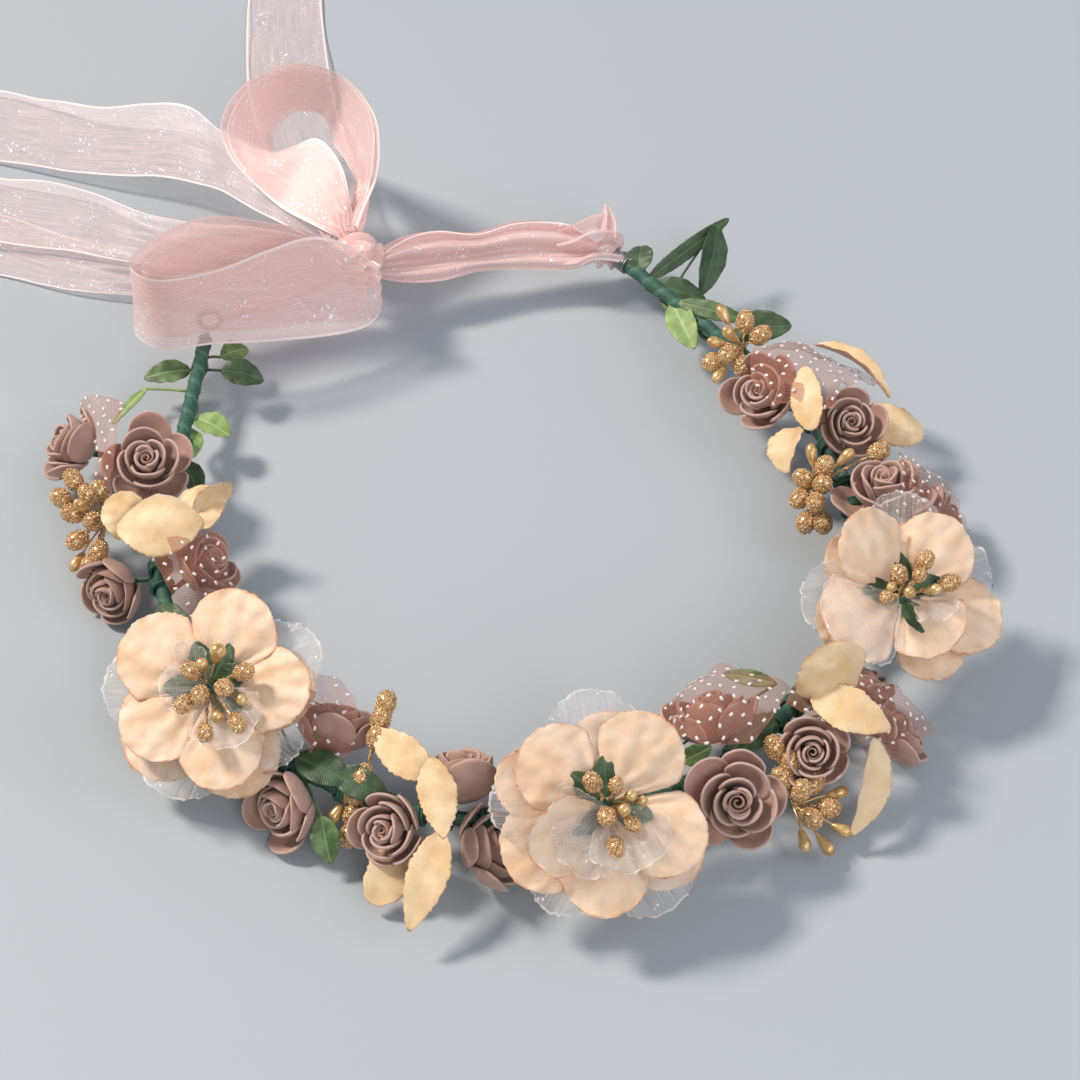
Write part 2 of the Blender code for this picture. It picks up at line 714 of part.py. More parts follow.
def bow():
    """The tied bow, on an empty at the line through both eyes, about which it swings."""
    left = band_at(PHI_LEFT)[0]
    right = band_at(PHI_RIGHT)[0]
    hinge = bpy.data.objects.new("bow_hinge", None)
    bpy.context.collection.objects.link(hinge)
    hinge.location = (left + right) / 2 * MM
    bpy.context.view_layer.update()
    knot = [(r * FIT, h * FIT, n, d) for r, h, n, d in KNOT_PROFILE]
    centre = Vector(KNOT_CENTRE) * FIT
    solid = applied(turned(frame(centre, (0.25, -0.75, 0.6)), knot, 12))
    named("bow_knot", solid, pink(), centre, hinge)
    for name, rows in (("bow_loop_left", LEFT_LOOP), ("bow_loop_back", BACK_LOOP)):
        named(name, applied(ribbon(rows)), pink(), Vector(rows[0][0]) * FIT, hinge)
    rows = (
        ((41, 98, 13), (0, 0.75, 0.65), 0.5),
        ((28, 101, 14.5), (0, 0.4, 0.9), 0.62),
        ((14, 102, 15.5), (0, 0.9, 0.4), 0.36),
        ((2, 103, 16.5), (0, 0.8, 0.6), 0.62),
        ((-10, 103, 18.5), (0, 0.6, 0.8), 0.5),
    )
    strand("strand_right", right, -1, rows, hinge)
    rows = (
        ((-50, 98, 13.5), (0, 0.75, 0.65), 0.36),
        ((-40, 100, 14), (0, 0.75, 0.65), 0.4),
        ((-28, 102, 14.5), (0, 0.75, 0.65), 0.36),
    )
    strand("strand_left", left, 1, rows, hinge)


# Rows of (name, stations); the ends lie on the table and each station is (centre, width way, share).
TAILS = (
    (
        "tail_back",
        (
            ((-17, 122, 9), (1, 0.1, 0.1), 0.4),
            ((-19, 145, 8), (1, 0.1, 0.05), 0.8),
            ((-21, 172, 4), (1, -0.1, 0.0), 1.0),
            ((-19, 200, 0.6), (1, -0.12, 0.0), 1.0),
            ((-15, 225, 0.6), (1, -0.15, 0.0), 1.0),
            ((-9, 258, 0.6), (1, -0.2, 0.0), 1.0),
        ),
    ),
    (
        "tail_left_upper",
        (
            ((-30, 119, 11), (0.7, -0.7, 0.1), 0.3),
            ((-44, 140, 11), (0.75, -0.65, 0.1), 0.7),
            ((-57, 168, 9), (0.25, 0.95, 0.0), 0.95),
            ((-75, 183, 5), (0.3, 0.95, 0.0), 1.0),
            ((-98, 195, 0.6), (0.45, 0.9, 0.0), 1.0),
            ((-115, 204, 0.6), (0.5, 0.87, 0.0), 1.0),
            ((-132, 213, 0.6), (0.5, 0.87, 0.0), 1.0),
        ),
    ),
    (
        "tail_left_middle",
        (
            ((-34, 114, 9), (0.5, 0.8, 0.1), 0.3),
            ((-52, 126, 8.5), (0.45, 0.9, 0.1), 0.6),
            ((-74, 142, 6.5), (0.4, 0.9, 0.0), 0.9),
            ((-98, 160, 4), (0.5, 0.85, 0.0), 1.0),
            ((-132, 182, 3.0), (0.5, 0.85, 0.0), 1.0),
        ),
    ),
    (
        "tail_left_lower",
        (
            ((-38, 112.5, 5.5), (0.2, 0.95, 0.1), 0.25),
            ((-58, 118, 4), (0.2, 0.95, 0.0), 0.7),
            ((-82, 130, 0.6), (0.3, 0.95, 0.0), 0.9),
            ((-104, 142, 0.6), (0.35, 0.93, 0.0), 1.0),
            ((-133, 155, 0.6), (0.4, 0.9, 0.0), 1.0),
        ),
    ),
)


def tails():
    for name, rows in TAILS:
        named(name, applied(ribbon(rows)), pink(), Vector(rows[0][0]) * FIT)


def main():
    clear_scene()
    wire_core()
    tape_wrap()
    for row in ROSES:
        rose(*row)
    for row in BLOOMS:
        bloom(*row)
    for name, phi, hub, blades in CREAM_LEAVES:
        leaf_set(name, phi, hub, blades, satin())
    for row in SPRAYS:
        spray(*row)
    for row in NETS:
        net_fan(*row)
    for row in VINES:
        vine(*row)
    bow()
    tails()


main()
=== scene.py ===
"""Flower crown: foam roses, cloth blossoms and gold stamens on a taped wire ring, tied with an organza bow.

Every length is in millimetres until a mesh is made. Z is up, the table is at z = 0 and the front is -Y.
"""

from __future__ import annotations

import json
import logging
import math
from collections.abc import Callable
from dataclasses import dataclass, field
from enum import Enum
from functools import partial

import bpy
import numpy as np
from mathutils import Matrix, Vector

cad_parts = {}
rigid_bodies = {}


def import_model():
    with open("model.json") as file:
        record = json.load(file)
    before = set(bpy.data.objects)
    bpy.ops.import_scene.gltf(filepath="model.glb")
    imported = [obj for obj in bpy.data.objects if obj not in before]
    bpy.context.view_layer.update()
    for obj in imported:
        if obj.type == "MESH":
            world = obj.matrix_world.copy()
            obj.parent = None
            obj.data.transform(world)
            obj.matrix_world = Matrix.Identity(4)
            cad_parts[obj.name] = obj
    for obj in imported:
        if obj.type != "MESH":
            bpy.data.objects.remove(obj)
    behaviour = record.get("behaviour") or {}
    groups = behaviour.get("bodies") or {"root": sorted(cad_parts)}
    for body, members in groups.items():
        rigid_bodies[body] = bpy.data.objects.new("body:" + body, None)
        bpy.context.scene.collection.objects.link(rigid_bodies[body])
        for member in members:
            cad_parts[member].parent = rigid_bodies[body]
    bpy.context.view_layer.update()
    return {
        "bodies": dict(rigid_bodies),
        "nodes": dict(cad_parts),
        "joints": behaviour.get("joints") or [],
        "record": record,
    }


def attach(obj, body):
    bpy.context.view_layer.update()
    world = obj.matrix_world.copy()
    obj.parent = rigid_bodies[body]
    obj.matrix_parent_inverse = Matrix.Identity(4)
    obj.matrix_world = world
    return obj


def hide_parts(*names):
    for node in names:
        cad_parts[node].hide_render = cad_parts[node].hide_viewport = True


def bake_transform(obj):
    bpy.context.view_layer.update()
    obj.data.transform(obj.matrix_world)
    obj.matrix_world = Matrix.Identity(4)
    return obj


LOG = logging.getLogger("flower_crown")
MM = 0.001
UP = np.array((0.0, 0.0, 1.0))

Row = tuple[float, float, float]
Pair = tuple[float, float]
Rails = tuple[tuple[Row, Row], ...]
Grid = tuple[np.ndarray, np.ndarray, np.ndarray]
Tree, Node, Socket, Object = bpy.types.NodeTree, bpy.types.Node, bpy.types.NodeSocket, bpy.types.Object
Add = Callable[..., Node]
Inputs = dict[str, object]

RING_RADIUS = 92.0
WIRE_HEIGHT = 13.0
TAPE_RADIUS = 2.1
STALK_RADIUS = 0.3
ROSE_RADIUS = 12.0
SATIN_THICK = 0.42
LEAF_THICK = 0.4
RIBBON_WIDTH = 25.0
TABLE_GAP = 0.15
ARC_LEFT, ARC_RIGHT = -110.0, 118.0
EYE_LEFT, EYE_RIGHT = np.array((-62.6, 97.0, 13.0)), np.array((52.6, 97.0, 13.0))


class Body(Enum):
    """The two bodies that the crown's pieces ride on."""

    CROWN = "crown"
    BOW = "bow"


class Hold(Enum):
    """How a sheet of cloth is held."""

    GATHERED = "gathered"
    LAID = "laid"
    FOLDED = "folded"


class Cloth(Enum):
    """The dye of a cloth petal or leaf."""

    CHAMPAGNE = "champagne"
    CREAM = "cream"


class Green(Enum):
    """The dye of a leaf."""

    DARK = "dark"
    MID = "mid"
    LIGHT = "light"


# ---------------- small tools


def linear(code: str) -> tuple[float, float, float, float]:
    """Turns an sRGB hex code into a linear colour.

    Args:
        code: Six hex digits.

    Returns:
        Red, green, blue and a full alpha.
    """
    shares = [int(code[i : i + 2], 16) / 255 for i in (0, 2, 4)]
    r, g, b = (s / 12.92 if s <= 0.04045 else ((s + 0.055) / 1.055) ** 2.4 for s in shares)
    return r, g, b, 1.0


def feed(tree: Tree, node: Node, links: dict) -> None:
    """Gives a node its inputs.

    Args:
        tree: The node tree.
        node: The node.
        links: Input name or number to an output socket, a list of them, or a plain value.
    """
    for key, value in links.items():
        for one in value if isinstance(value, list) else [value]:
            if isinstance(one, bpy.types.NodeSocket):
                tree.links.new(one, node.inputs[key])
            else:
                node.inputs[key].default_value = one


def add_node(tree: Tree, kind: str, links: dict | None = None, **settings: object) -> Node:
    """Adds a node with its settings and its inputs.

    Args:
        tree: The node tree.
        kind: The node's type.
        links: What feeds its inputs.
        **settings: Properties of the node.

    Returns:
        The new node.
    """
    made = tree.nodes.new(kind)
    for key, value in settings.items():
        setattr(made, key, value)
    feed(tree, made, links or {})
    return made


def link_in(name: str, data: bpy.types.ID) -> Object:
    """Returns a new object in the scene, at the origin."""
    made = bpy.data.objects.new(name, data)
    bpy.context.scene.collection.objects.link(made)
    return made


def unit(v: np.ndarray) -> np.ndarray:
    """Returns a vector at length one."""
    return v / max(float(np.linalg.norm(v)), 1e-9)


def facing_axes(facing: Row) -> np.ndarray:
    """Builds a frame that faces one way.

    Args:
        facing: The direction of its z.

    Returns:
        The rows x, y and z.
    """
    w = unit(np.array(facing, float))
    hint = UP if abs(w[2]) < 0.95 else np.array((0.0, 1.0, 0.0))
    x = unit(np.cross(hint, w))
    return np.array((x, np.cross(w, x), w))


def polar(turn: float, out: float, height: float) -> np.ndarray:
    """Returns the point at a turn in degrees, a distance out and a height."""
    a = math.radians(turn)
    return np.array((out * math.cos(a), out * math.sin(a), height))


def circle(count: int, x: np.ndarray, y: np.ndarray) -> np.ndarray:
    """Returns points round a circle of radius one in the plane of x and y."""
    a = np.arange(count) * 2 * math.pi / count
    return np.cos(a)[:, None] * x + np.sin(a)[:, None] * y


def normals(grid: np.ndarray) -> np.ndarray:
    """Returns the unit normal at each point of a grid."""
    made = np.cross(np.gradient(grid, axis=0), np.gradient(grid, axis=1))
    return made / np.maximum(np.linalg.norm(made, axis=-1, keepdims=True), 1e-9)


def squares(index: np.ndarray) -> np.ndarray:
    """Returns the four-sided faces between the rows and columns of a grid of point numbers."""
    corners = (index[:-1, :-1], index[1:, :-1], index[1:, 1:], index[:-1, 1:])
    return np.stack(corners, -1).reshape(-1, 4)


def spline(rows: np.ndarray, steps: int) -> np.ndarray:
    """Returns points on a smooth curve through rows of numbers.

    Args:
        rows: The rows to pass through.
        steps: Points to each span.

    Returns:
        The points, with both ends.
    """
    p = np.asarray(rows, float)
    out = []
    for i in range(len(p) - 1):
        before, a, b, after = p[max(i - 1, 0)], p[i], p[i + 1], p[min(i + 2, len(p) - 1)]
        for t in np.arange(steps) / steps:
            q = 2 * a + (b - before) * t + (2 * before - 5 * a + 4 * b - after) * t**2
            out.append((q + (3 * a - before - 3 * b + after) * t**3) / 2)
    out.append(p[-1])
    return np.array(out)


def ripple(points: np.ndarray, size: float, seed: int) -> np.ndarray:
    """Returns smooth noise from -1 to 1 at points.

    Args:
        points: Points in millimetres, in the last axis.
        size: The usual distance from crest to crest.
        seed: Picks the noise.

    Returns:
        One number for each point.
    """
    rng = np.random.default_rng(seed)
    total = np.zeros(points.shape[:-1])
    for _ in range(7):
        way = unit(rng.normal(size=points.shape[-1])) * rng.uniform(0.7, 1.5) * 2 * math.pi / size
        total += np.sin(points @ way + rng.uniform(0, 2 * math.pi))
    return total / 4.5


def disc_grid(count: int) -> Grid:
    """Spreads a square grid over a unit disc.

    Args:
        count: Points along each side of the grid.

    Returns:
        Its x, its y and its nearness to the rim.
    """
    t = np.sin(np.linspace(-1, 1, count) * math.pi / 2)
    u, v = np.meshgrid(t, t, indexing="ij")
    rim = np.maximum(abs(u), abs(v))
    return u * np.sqrt(1 - v * v / 2), v * np.sqrt(1 - u * u / 2), rim


def band_at(phi: float) -> tuple[np.ndarray, np.ndarray]:
    """Finds a place on the ring's wire, which runs straight beyond the ends of its arc.

    Args:
        phi: Degrees round from the front.

    Returns:
        The wire's centre and its direction there.
    """
    edge = min(max(phi, ARC_LEFT), ARC_RIGHT)
    turn = math.radians(edge)
    along = np.array((math.cos(turn), math.sin(turn), 0.0))
    centre = np.array((math.sin(turn), -math.cos(turn), 0.0)) * RING_RADIUS
    return centre + along * math.radians(phi - edge) * RING_RADIUS + UP * WIRE_HEIGHT, along


# ---------------- gathering meshes


@dataclass
class Shell:
    """Gathers grids of points until they become one mesh."""

    points: list[np.ndarray] = field(default_factory=list)
    uvs: list[np.ndarray] = field(default_factory=list)
    rims: list[np.ndarray] = field(default_factory=list)
    faces: list[list[int]] = field(default_factory=list)
    slots: list[int] = field(default_factory=list)
    count: int = 0

    def _keep(self, points: np.ndarray, uv: np.ndarray, rim: np.ndarray, faces: list, slot: int) -> None:
        """Stores points and the faces on them.

        Args:
            points: The points, one to a row.
            uv: Their flat coordinates.
            rim: Their nearness to the cut edge.
            faces: The numbers of each face's points.
            slot: Which finish they take.
        """
        self.points.append(points)
        self.uvs.append(uv)
        self.rims.append(rim)
        self.faces.extend([[i + self.count for i in row] for row in faces])
        self.slots.extend([slot] * len(faces))
        self.count += len(points)

    def skin(self, grid: np.ndarray, uv: np.ndarray, rim: np.ndarray) -> float:
        """Adds one layer of sheer cloth.

        Args:
            grid: Points, rows by columns.
            uv: The cloth's own flat coordinates, in millimetres.
            rim: Nearness to the cut edge, 1 at it.

        Returns:
            The cloth's area in square millimetres.
        """
        n, m = grid.shape[:2]
        faces = squares(np.arange(n * m).reshape(n, m)).tolist()
        self._keep(grid.reshape(-1, 3), uv.reshape(-1, 2), rim.reshape(-1), faces, 0)
        cross = np.cross(grid[1:, 1:] - grid[:-1, :-1], grid[1:, :-1] - grid[:-1, 1:])
        return float(np.linalg.norm(cross, axis=-1).sum() / 2)

    def sheet(self, cut: Grid, thick: float, rounding: float, slot: int = 0, under: int | None = None) -> None:
        """Adds a closed sheet with a thickness and a rounded edge.

        Args:
            cut: Points of its middle by rows and columns, its flat coordinates, and its nearness to the edge.
            thick: The sheet's thickness.
            rounding: The share of the way from the middle that the edge's rounding takes.
            slot: Which finish it takes.
            under: Which finish its second side takes, if another.
        """
        grid, uv, rim = cut
        n, m = grid.shape[:2]
        near = np.clip((rim - (1 - rounding)) / rounding, 0, 1)
        rise = normals(grid) * (thick / 2 * np.sqrt(1 - near**2))[..., None]
        front = np.arange(n * m).reshape(n, m)
        back = front.copy()
        back[1:-1, 1:-1] = np.arange((n - 2) * (m - 2)).reshape(n - 2, m - 2) + n * m
        faces = squares(front).tolist() + squares(back)[:, (0, 3, 2, 1)].tolist()
        below = (grid - rise)[1:-1, 1:-1].reshape(-1, 3)
        above = grid + rise
        above[0], above[-1], above[:, 0], above[:, -1] = grid[0], grid[-1], grid[:, 0], grid[:, -1]
        points = np.concatenate((above.reshape(-1, 3), below))
        uvs = np.concatenate((uv.reshape(-1, 2), uv[1:-1, 1:-1].reshape(-1, 2)))
        rims = np.concatenate((rim.reshape(-1), rim[1:-1, 1:-1].reshape(-1)))
        self._keep(points, uvs, rims, faces, slot)
        if under is not None:
            half = len(faces) // 2
            self.slots[-half:] = [under] * half

    def tube(self, path: np.ndarray, radii: np.ndarray | float, sides: int = 8, slot: int = 0) -> None:
        """Adds a round rod with closed ends.

        Args:
            path: Points along its middle.
            radii: One radius, or one for each point.
            sides: Faces round it.
            slot: Which finish it takes.
        """
        path = np.asarray(path, float)
        along = np.gradient(path, axis=0)
        along /= np.maximum(np.linalg.norm(along, axis=1, keepdims=True), 1e-9)
        radii = np.broadcast_to(np.asarray(radii, float), (len(path),))
        u = unit(np.cross(along[0], UP if abs(along[0][2]) < 0.9 else np.array((1.0, 0, 0))))
        rings = []
        for p, t, r in zip(path, along, radii):
            u = unit(u - t * (u @ t))
            rings.append(p + r * circle(sides, u, np.cross(t, u)))
        self.rings(np.array(rings), slot)

    def rings(self, rings: np.ndarray, slot: int = 0) -> None:
        """Adds a closed form through rings of points that run round it to the left.

        Args:
            rings: Points, ring by ring.
            slot: Which finish it takes.
        """
        n, m = rings.shape[:2]
        index = np.arange(n * m).reshape(n, m)
        after = np.roll(index, -1, axis=1)
        faces = np.stack((index[:-1], after[:-1], after[1:], index[1:]), -1).reshape(-1, 4).tolist()
        faces.append(index[0][::-1].tolist())
        faces.append(index[-1].tolist())
        step = np.linalg.norm(np.diff(rings.mean(axis=1), axis=0), axis=1)
        down = np.concatenate(([0.0], np.cumsum(step)))
        around = np.linspace(0, 6, m)
        uv = np.stack(np.broadcast_arrays(around[None, :], down[:, None]), -1).reshape(-1, 2)
        self._keep(rings.reshape(-1, 3), uv, np.zeros(n * m), faces, slot)

    def bead(self, centre: np.ndarray, lean: np.ndarray, radius: float, length: float, drop: float = 0.0) -> None:
        """Adds a bead, drawn out to a drop towards its foot.

        Args:
            centre: Its middle.
            lean: The way that its tip points.
            radius: Its radius.
            length: Its length along lean.
            drop: How far its foot is drawn out, from 0 to 1.
        """
        x, y, w = facing_axes(tuple(lean))
        t = np.linspace(0.06, 1 - 0.04, 9) * math.pi
        # Only the rings on the foot's side of the widest one are drawn in.
        drawn = (1 - np.cos(np.linspace(math.pi, 0, 9))) / 2 * (t < 1.9)
        wide = np.sin(t) * (1 - drop * 0.62 * drawn)
        ring = circle(12, x, y) * radius
        self.rings(np.array([centre - w * math.cos(s) * length / 2 + r * ring for s, r in zip(t, wide)]))

    def build(self, name: str, *finishes: Finish) -> Object:
        """Makes the mesh object.

        Args:
            name: The piece's name.
            *finishes: The finish of each slot.

        Returns:
            The object, at the origin, with its place in its mesh.
        """
        points = np.concatenate(self.points)
        points[:, 2] = np.maximum(points[:, 2], TABLE_GAP)
        mesh = bpy.data.meshes.new(name)
        mesh.from_pydata((points * MM).tolist(), [], self.faces)
        mesh.validate()
        uv = np.concatenate(self.uvs)
        corners = np.empty(len(mesh.loops), np.int64)
        mesh.loops.foreach_get("vertex_index", corners)
        layer = mesh.uv_layers.new(name="Cloth")
        layer.data.foreach_set("uv", uv[corners].astype(np.float32).ravel())
        rim = mesh.attributes.new("rim", "FLOAT", "POINT")
        rim.data.foreach_set("value", np.concatenate(self.rims).astype(np.float32))
        for finish in finishes:
            mesh.materials.append(finish.material())
        if len(mesh.polygons) == len(self.slots):
            mesh.polygons.foreach_set("material_index", self.slots)
        mesh.polygons.foreach_set("use_smooth", [True] * len(mesh.polygons))
        mesh.update()
        return link_in(name, mesh)


def seat(obj: Object, body: Body, slot: str, *nodes: str) -> None:
    """Puts a finished piece on its body, in place of the nodes that it stands for.

    Args:
        obj: The piece.
        body: The body that it rides on.
        slot: The name of a material slot; not used.
        *nodes: The solids that it replaces.
    """
    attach(obj, body.value)
    if nodes:
        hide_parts(*nodes)
    LOG.info("%s: %d faces on %s", obj.name, len(obj.data.polygons), body.value)


# ---------------- finishes


@dataclass(frozen=True)
class Finish:
    """What a surface is made of, and how it meets light."""

    name: str

    def material(self) -> bpy.types.Material:
        """Returns the finish's material, made once."""
        made = bpy.data.materials.get(self.name)
        if made is None:
            made = bpy.data.materials.new(self.name)
            made.use_nodes = True
            tree = made.node_tree
            feed(tree, tree.nodes["Principled BSDF"], self.dress(partial(add_node, tree)))
        return made

    def dress(self, add: Add) -> Inputs:
        """Returns what feeds the shader's inputs: a pattern, or one level for the whole surface."""
        raise NotImplementedError

    def place(self, add: Add, size: float, stretch: Row = (1, 1, 1)) -> Socket:
        """Returns object coordinates in units of a size in millimetres."""
        scale = tuple(s / (size * MM) for s in stretch)
        coords = add("ShaderNodeTexCoord").outputs["Object"]
        return add("ShaderNodeMapping", {"Vector": coords, "Scale": scale}).outputs[0]

    def cloth(self, add: Add, size: float, stretch: Pair = (1, 1)) -> Socket:
        """Returns the cloth's own coordinates in units of a size in millimetres."""
        scale = (stretch[0] / size, stretch[1] / size, 1)
        coords = add("ShaderNodeUVMap", uv_map="Cloth").outputs[0]
        return add("ShaderNodeMapping", {"Vector": coords, "Scale": scale}).outputs[0]

    def rim(self, add: Add, low: float, high: float) -> Socket:
        """Returns a share that rises from 0 to 1 between two distances to the cut edge."""
        mark = add("ShaderNodeAttribute", attribute_name="rim").outputs["Fac"]
        span = {"Value": mark, "From Min": low, "From Max": high}
        return add("ShaderNodeMapRange", span, interpolation_type="SMOOTHSTEP").outputs[0]

    def speckle(self, add: Add, where: Socket, low: float, high: float, detail: float = 3.0) -> Socket:
        """Returns noise spread out from 0 to 1 between two of its levels."""
        raw = add("ShaderNodeTexNoise", {"Vector": where, "Scale": 1.0, "Detail": detail}).outputs["Fac"]
        return add("ShaderNodeMapRange", {"Value": raw, "From Min": low, "From Max": high}).outputs[0]

    def threads(self, add: Add, size: float, wander: float) -> list[Socket]:
        """Draws a plain weave.

        Args:
            add: Adds a node to the material.
            size: The spacing of the threads, in millimetres.
            wander: How far the threads stray from straight.

        Returns:
            The warp and the weft, each from 0 to 1.
        """
        links = {"Vector": self.cloth(add, size), "Scale": 0.314, "Distortion": wander}
        links |= {"Detail": 1.0, "Detail Scale": 0.15}
        return [add("ShaderNodeTexWave", links, bands_direction=way).outputs["Fac"] for way in ("X", "Y")]


@dataclass(frozen=True)
class FoamSheet(Finish):
    """EVA foam sheet, die cut and heat pressed: dull and soft, with a painted highlight on its cut edges."""

    name: str = "EVA foam sheet, dusty mauve"
    face: str = "BE9A8C"
    shade: str = "A88376"
    # The colour of the painted highlight on the cut edges.
    cut: str = "C4A89C"

    def dress(self, add: Add) -> Inputs:
        """Gives dull mauve with a painted highlight on the cut edges, and closed cells about 0.3 mm across."""
        # The pressing heat leaves slow changes of shade over about 6 mm.
        cloudy = self.speckle(add, self.place(add, 6.0), 0.35, 0.68)
        dye = {0: cloudy, 6: linear(self.shade), 7: linear(self.face)}
        body = add("ShaderNodeMix", dye, data_type="RGBA").outputs[2]
        # Painted highlight: the cut edges take a paler colour that stands in for light on their rounded edge.
        edged = {0: self.rim(add, 0.94, 0.995), 6: body, 7: linear(self.cut)}
        cells = self.speckle(add, self.place(add, 0.35), 0.3, 0.7)
        relief = {"Height": cells, "Distance": 0.05 * MM, "Strength": 0.35}
        return {
            "Base Color": add("ShaderNodeMix", edged, data_type="RGBA").outputs[2],
            "Normal": add("ShaderNodeBump", relief).outputs[0],
            "Roughness": 0.78,
            "Sheen Weight": 0.18,
            "Specular IOR Level": 0.3,
        }


@dataclass(frozen=True)
class SizedSatin(Finish):
    """Polyester satin stiffened with size and pressed hot: a soft lustre, a fine rib, a scorched edge."""

    name: str = "sized satin, champagne"
    face: str = "F2D6BA"
    shade: str = "E4BC96"
    edge: str = "D08C5E"
    glint: str = "FFF3E0"

    def dress(self, add: Add) -> Inputs:
        """Gives warm cream with slow changes of tone, ribs and a toasted edge."""
        cloudy = self.speckle(add, self.place(add, 7.0), 0.34, 0.66)
        dye = {0: cloudy, 6: linear(self.shade), 7: linear(self.face)}
        body = add("ShaderNodeMix", dye, data_type="RGBA").outputs[2]
        # Hot cutting browns the last half millimetre, more in some places than in others.
        patches = self.speckle(add, self.place(add, 4.0), 0.35, 0.6)
        toast = add("ShaderNodeMath", {0: self.rim(add, 0.93, 1.0), 1: patches}, operation="MULTIPLY").outputs[0]
        # Threads are 0.15 mm apart, drawn at 0.45 mm so that they show.
        warp, weft = self.threads(add, 0.45, 1.2)
        rib = add("ShaderNodeMath", {0: weft, 1: 0.5, 2: warp}, operation="MULTIPLY_ADD").outputs[0]
        shine = add("ShaderNodeMath", {0: rib, 1: 0.09}, operation="MULTIPLY").outputs[0]
        pale = add("ShaderNodeMix", {0: shine, 6: body, 7: linear(self.glint)}, data_type="RGBA").outputs[2]
        crumple = self.speckle(add, self.place(add, 2.4), 0.3, 0.7, 2.0)
        height = add("ShaderNodeMath", {0: crumple, 1: 3.0, 2: rib}, operation="MULTIPLY_ADD").outputs[0]
        relief = {"Height": height, "Distance": 0.07 * MM, "Strength": 0.5}
        edged = {0: toast, 6: pale, 7: linear(self.edge)}
        return {
            "Base Color": add("ShaderNodeMix", edged, data_type="RGBA").outputs[2],
            "Normal": add("ShaderNodeBump", relief).outputs[0],
            "Roughness": 0.5,
            "Sheen Weight": 0.35,
            "Subsurface Weight": 0.12,
            "Subsurface Radius": (0.0012, 0.0007, 0.0004),
        }


@dataclass(frozen=True)
class Organza(Finish):
    """Organza, a crisp sheer plain weave of shiny filament: see-through, denser at its cut edge."""

    name: str = "nylon organza, white"
    face: str = "E4DEDA"
    edge: str = "F4EEE8"
    cover: float = 0.24
    pitch: float = 0.42
    border: float = 0.95
    border_cover: float = 0.3
    sparkle: float = 0.5

    def dress(self, add: Add) -> Inputs:
        """Gives a sheer weave with a denser border and flecks of light."""
        # Filaments are 0.2 mm apart, drawn wider so that they show.
        warp, weft = self.threads(add, self.pitch, 0.8)
        both = add("ShaderNodeMath", {0: warp, 1: weft}, operation="ADD").outputs[0]
        weave = add("ShaderNodeMath", {0: both, 1: 0.5}, operation="MULTIPLY").outputs[0]
        border = self.rim(add, self.border, self.border + 0.025)
        # Uneven filaments run the length of the cloth as streaks 0.6 mm wide and 14 mm long.
        streaks = self.speckle(add, self.cloth(add, 1.0, (1.7, 0.07)), 0.35, 0.7)
        slubs = self.speckle(add, self.cloth(add, 3.2), 0.3, 0.75)
        # Single filaments turn and catch the light as flecks 0.5 mm long.
        cells = {"Vector": self.cloth(add, 0.55), "Scale": 1.0, "Randomness": 1.0}
        fleck = add("ShaderNodeTexVoronoi", cells).outputs["Color"]
        chance = add("ShaderNodeSeparateColor", {0: fleck}).outputs[0]
        rare = add("ShaderNodeMath", {0: chance, 1: 0.93}, operation="GREATER_THAN").outputs[0]
        drift = self.speckle(add, self.cloth(add, 9.0), 0.5, 0.62)
        spots = add("ShaderNodeMath", {0: rare, 1: drift}, operation="MULTIPLY").outputs[0]
        cover = self.cover - 0.25
        layers = ((weave, 0.3), (streaks, 0.2), (slubs, 0.08), (border, self.border_cover), (spots, self.sparkle))
        for layer, weight in layers:
            # The border is the first layer that can close the weave altogether.
            full = layer in (border, spots)
            links = {0: layer, 1: weight, 2: cover}
            cover = add("ShaderNodeMath", links, operation="MULTIPLY_ADD", use_clamp=full).outputs[0]
        tint = {0: border, 6: linear(self.face), 7: linear(self.edge)}
        lit = {0: spots, 6: add("ShaderNodeMix", tint, data_type="RGBA").outputs[2], 7: linear("FFFFFF")}
        return {
            "Alpha": cover,
            "Base Color": add("ShaderNodeMix", lit, data_type="RGBA").outputs[2],
            "Roughness": add("ShaderNodeMapRange", {"Value": spots, "To Min": 0.42, "To Max": 0.12}).outputs[0],
            "Normal": add("ShaderNodeBump", {"Height": weave, "Distance": 0.05 * MM, "Strength": 0.35}).outputs[0],
            "Sheen Weight": 0.4,
            "Specular IOR Level": 0.6,
        }


@dataclass(frozen=True)
class Tulle(Finish):
    """Brown nylon tulle: an open net that tints what lies behind it."""

    name: str = "nylon tulle, russet"
    thread: str = "B4705A"
    hole_cover: float = 0.18
    thread_cover: float = 0.52

    def dress(self, add: Add) -> Inputs:
        """Gives thin russet lines with clear holes between them."""
        # The net's holes are 0.5 mm across.
        warp, weft = self.threads(add, 0.55, 0.5)
        lines = add("ShaderNodeMath", {0: warp, 1: weft}, operation="MAXIMUM").outputs[0]
        span = {"Value": lines, "From Min": 0.55, "From Max": 1.0}
        span |= {"To Min": self.hole_cover, "To Max": self.thread_cover}
        cover = add("ShaderNodeMapRange", span).outputs[0]
        edged = {0: self.rim(add, 0.94, 1.0), 1: 0.25, 2: cover}
        return {
            "Alpha": add("ShaderNodeMath", edged, operation="MULTIPLY_ADD", use_clamp=True).outputs[0],
            "Base Color": linear(self.thread),
            "Roughness": 0.5,
            "Sheen Weight": 0.3,
        }


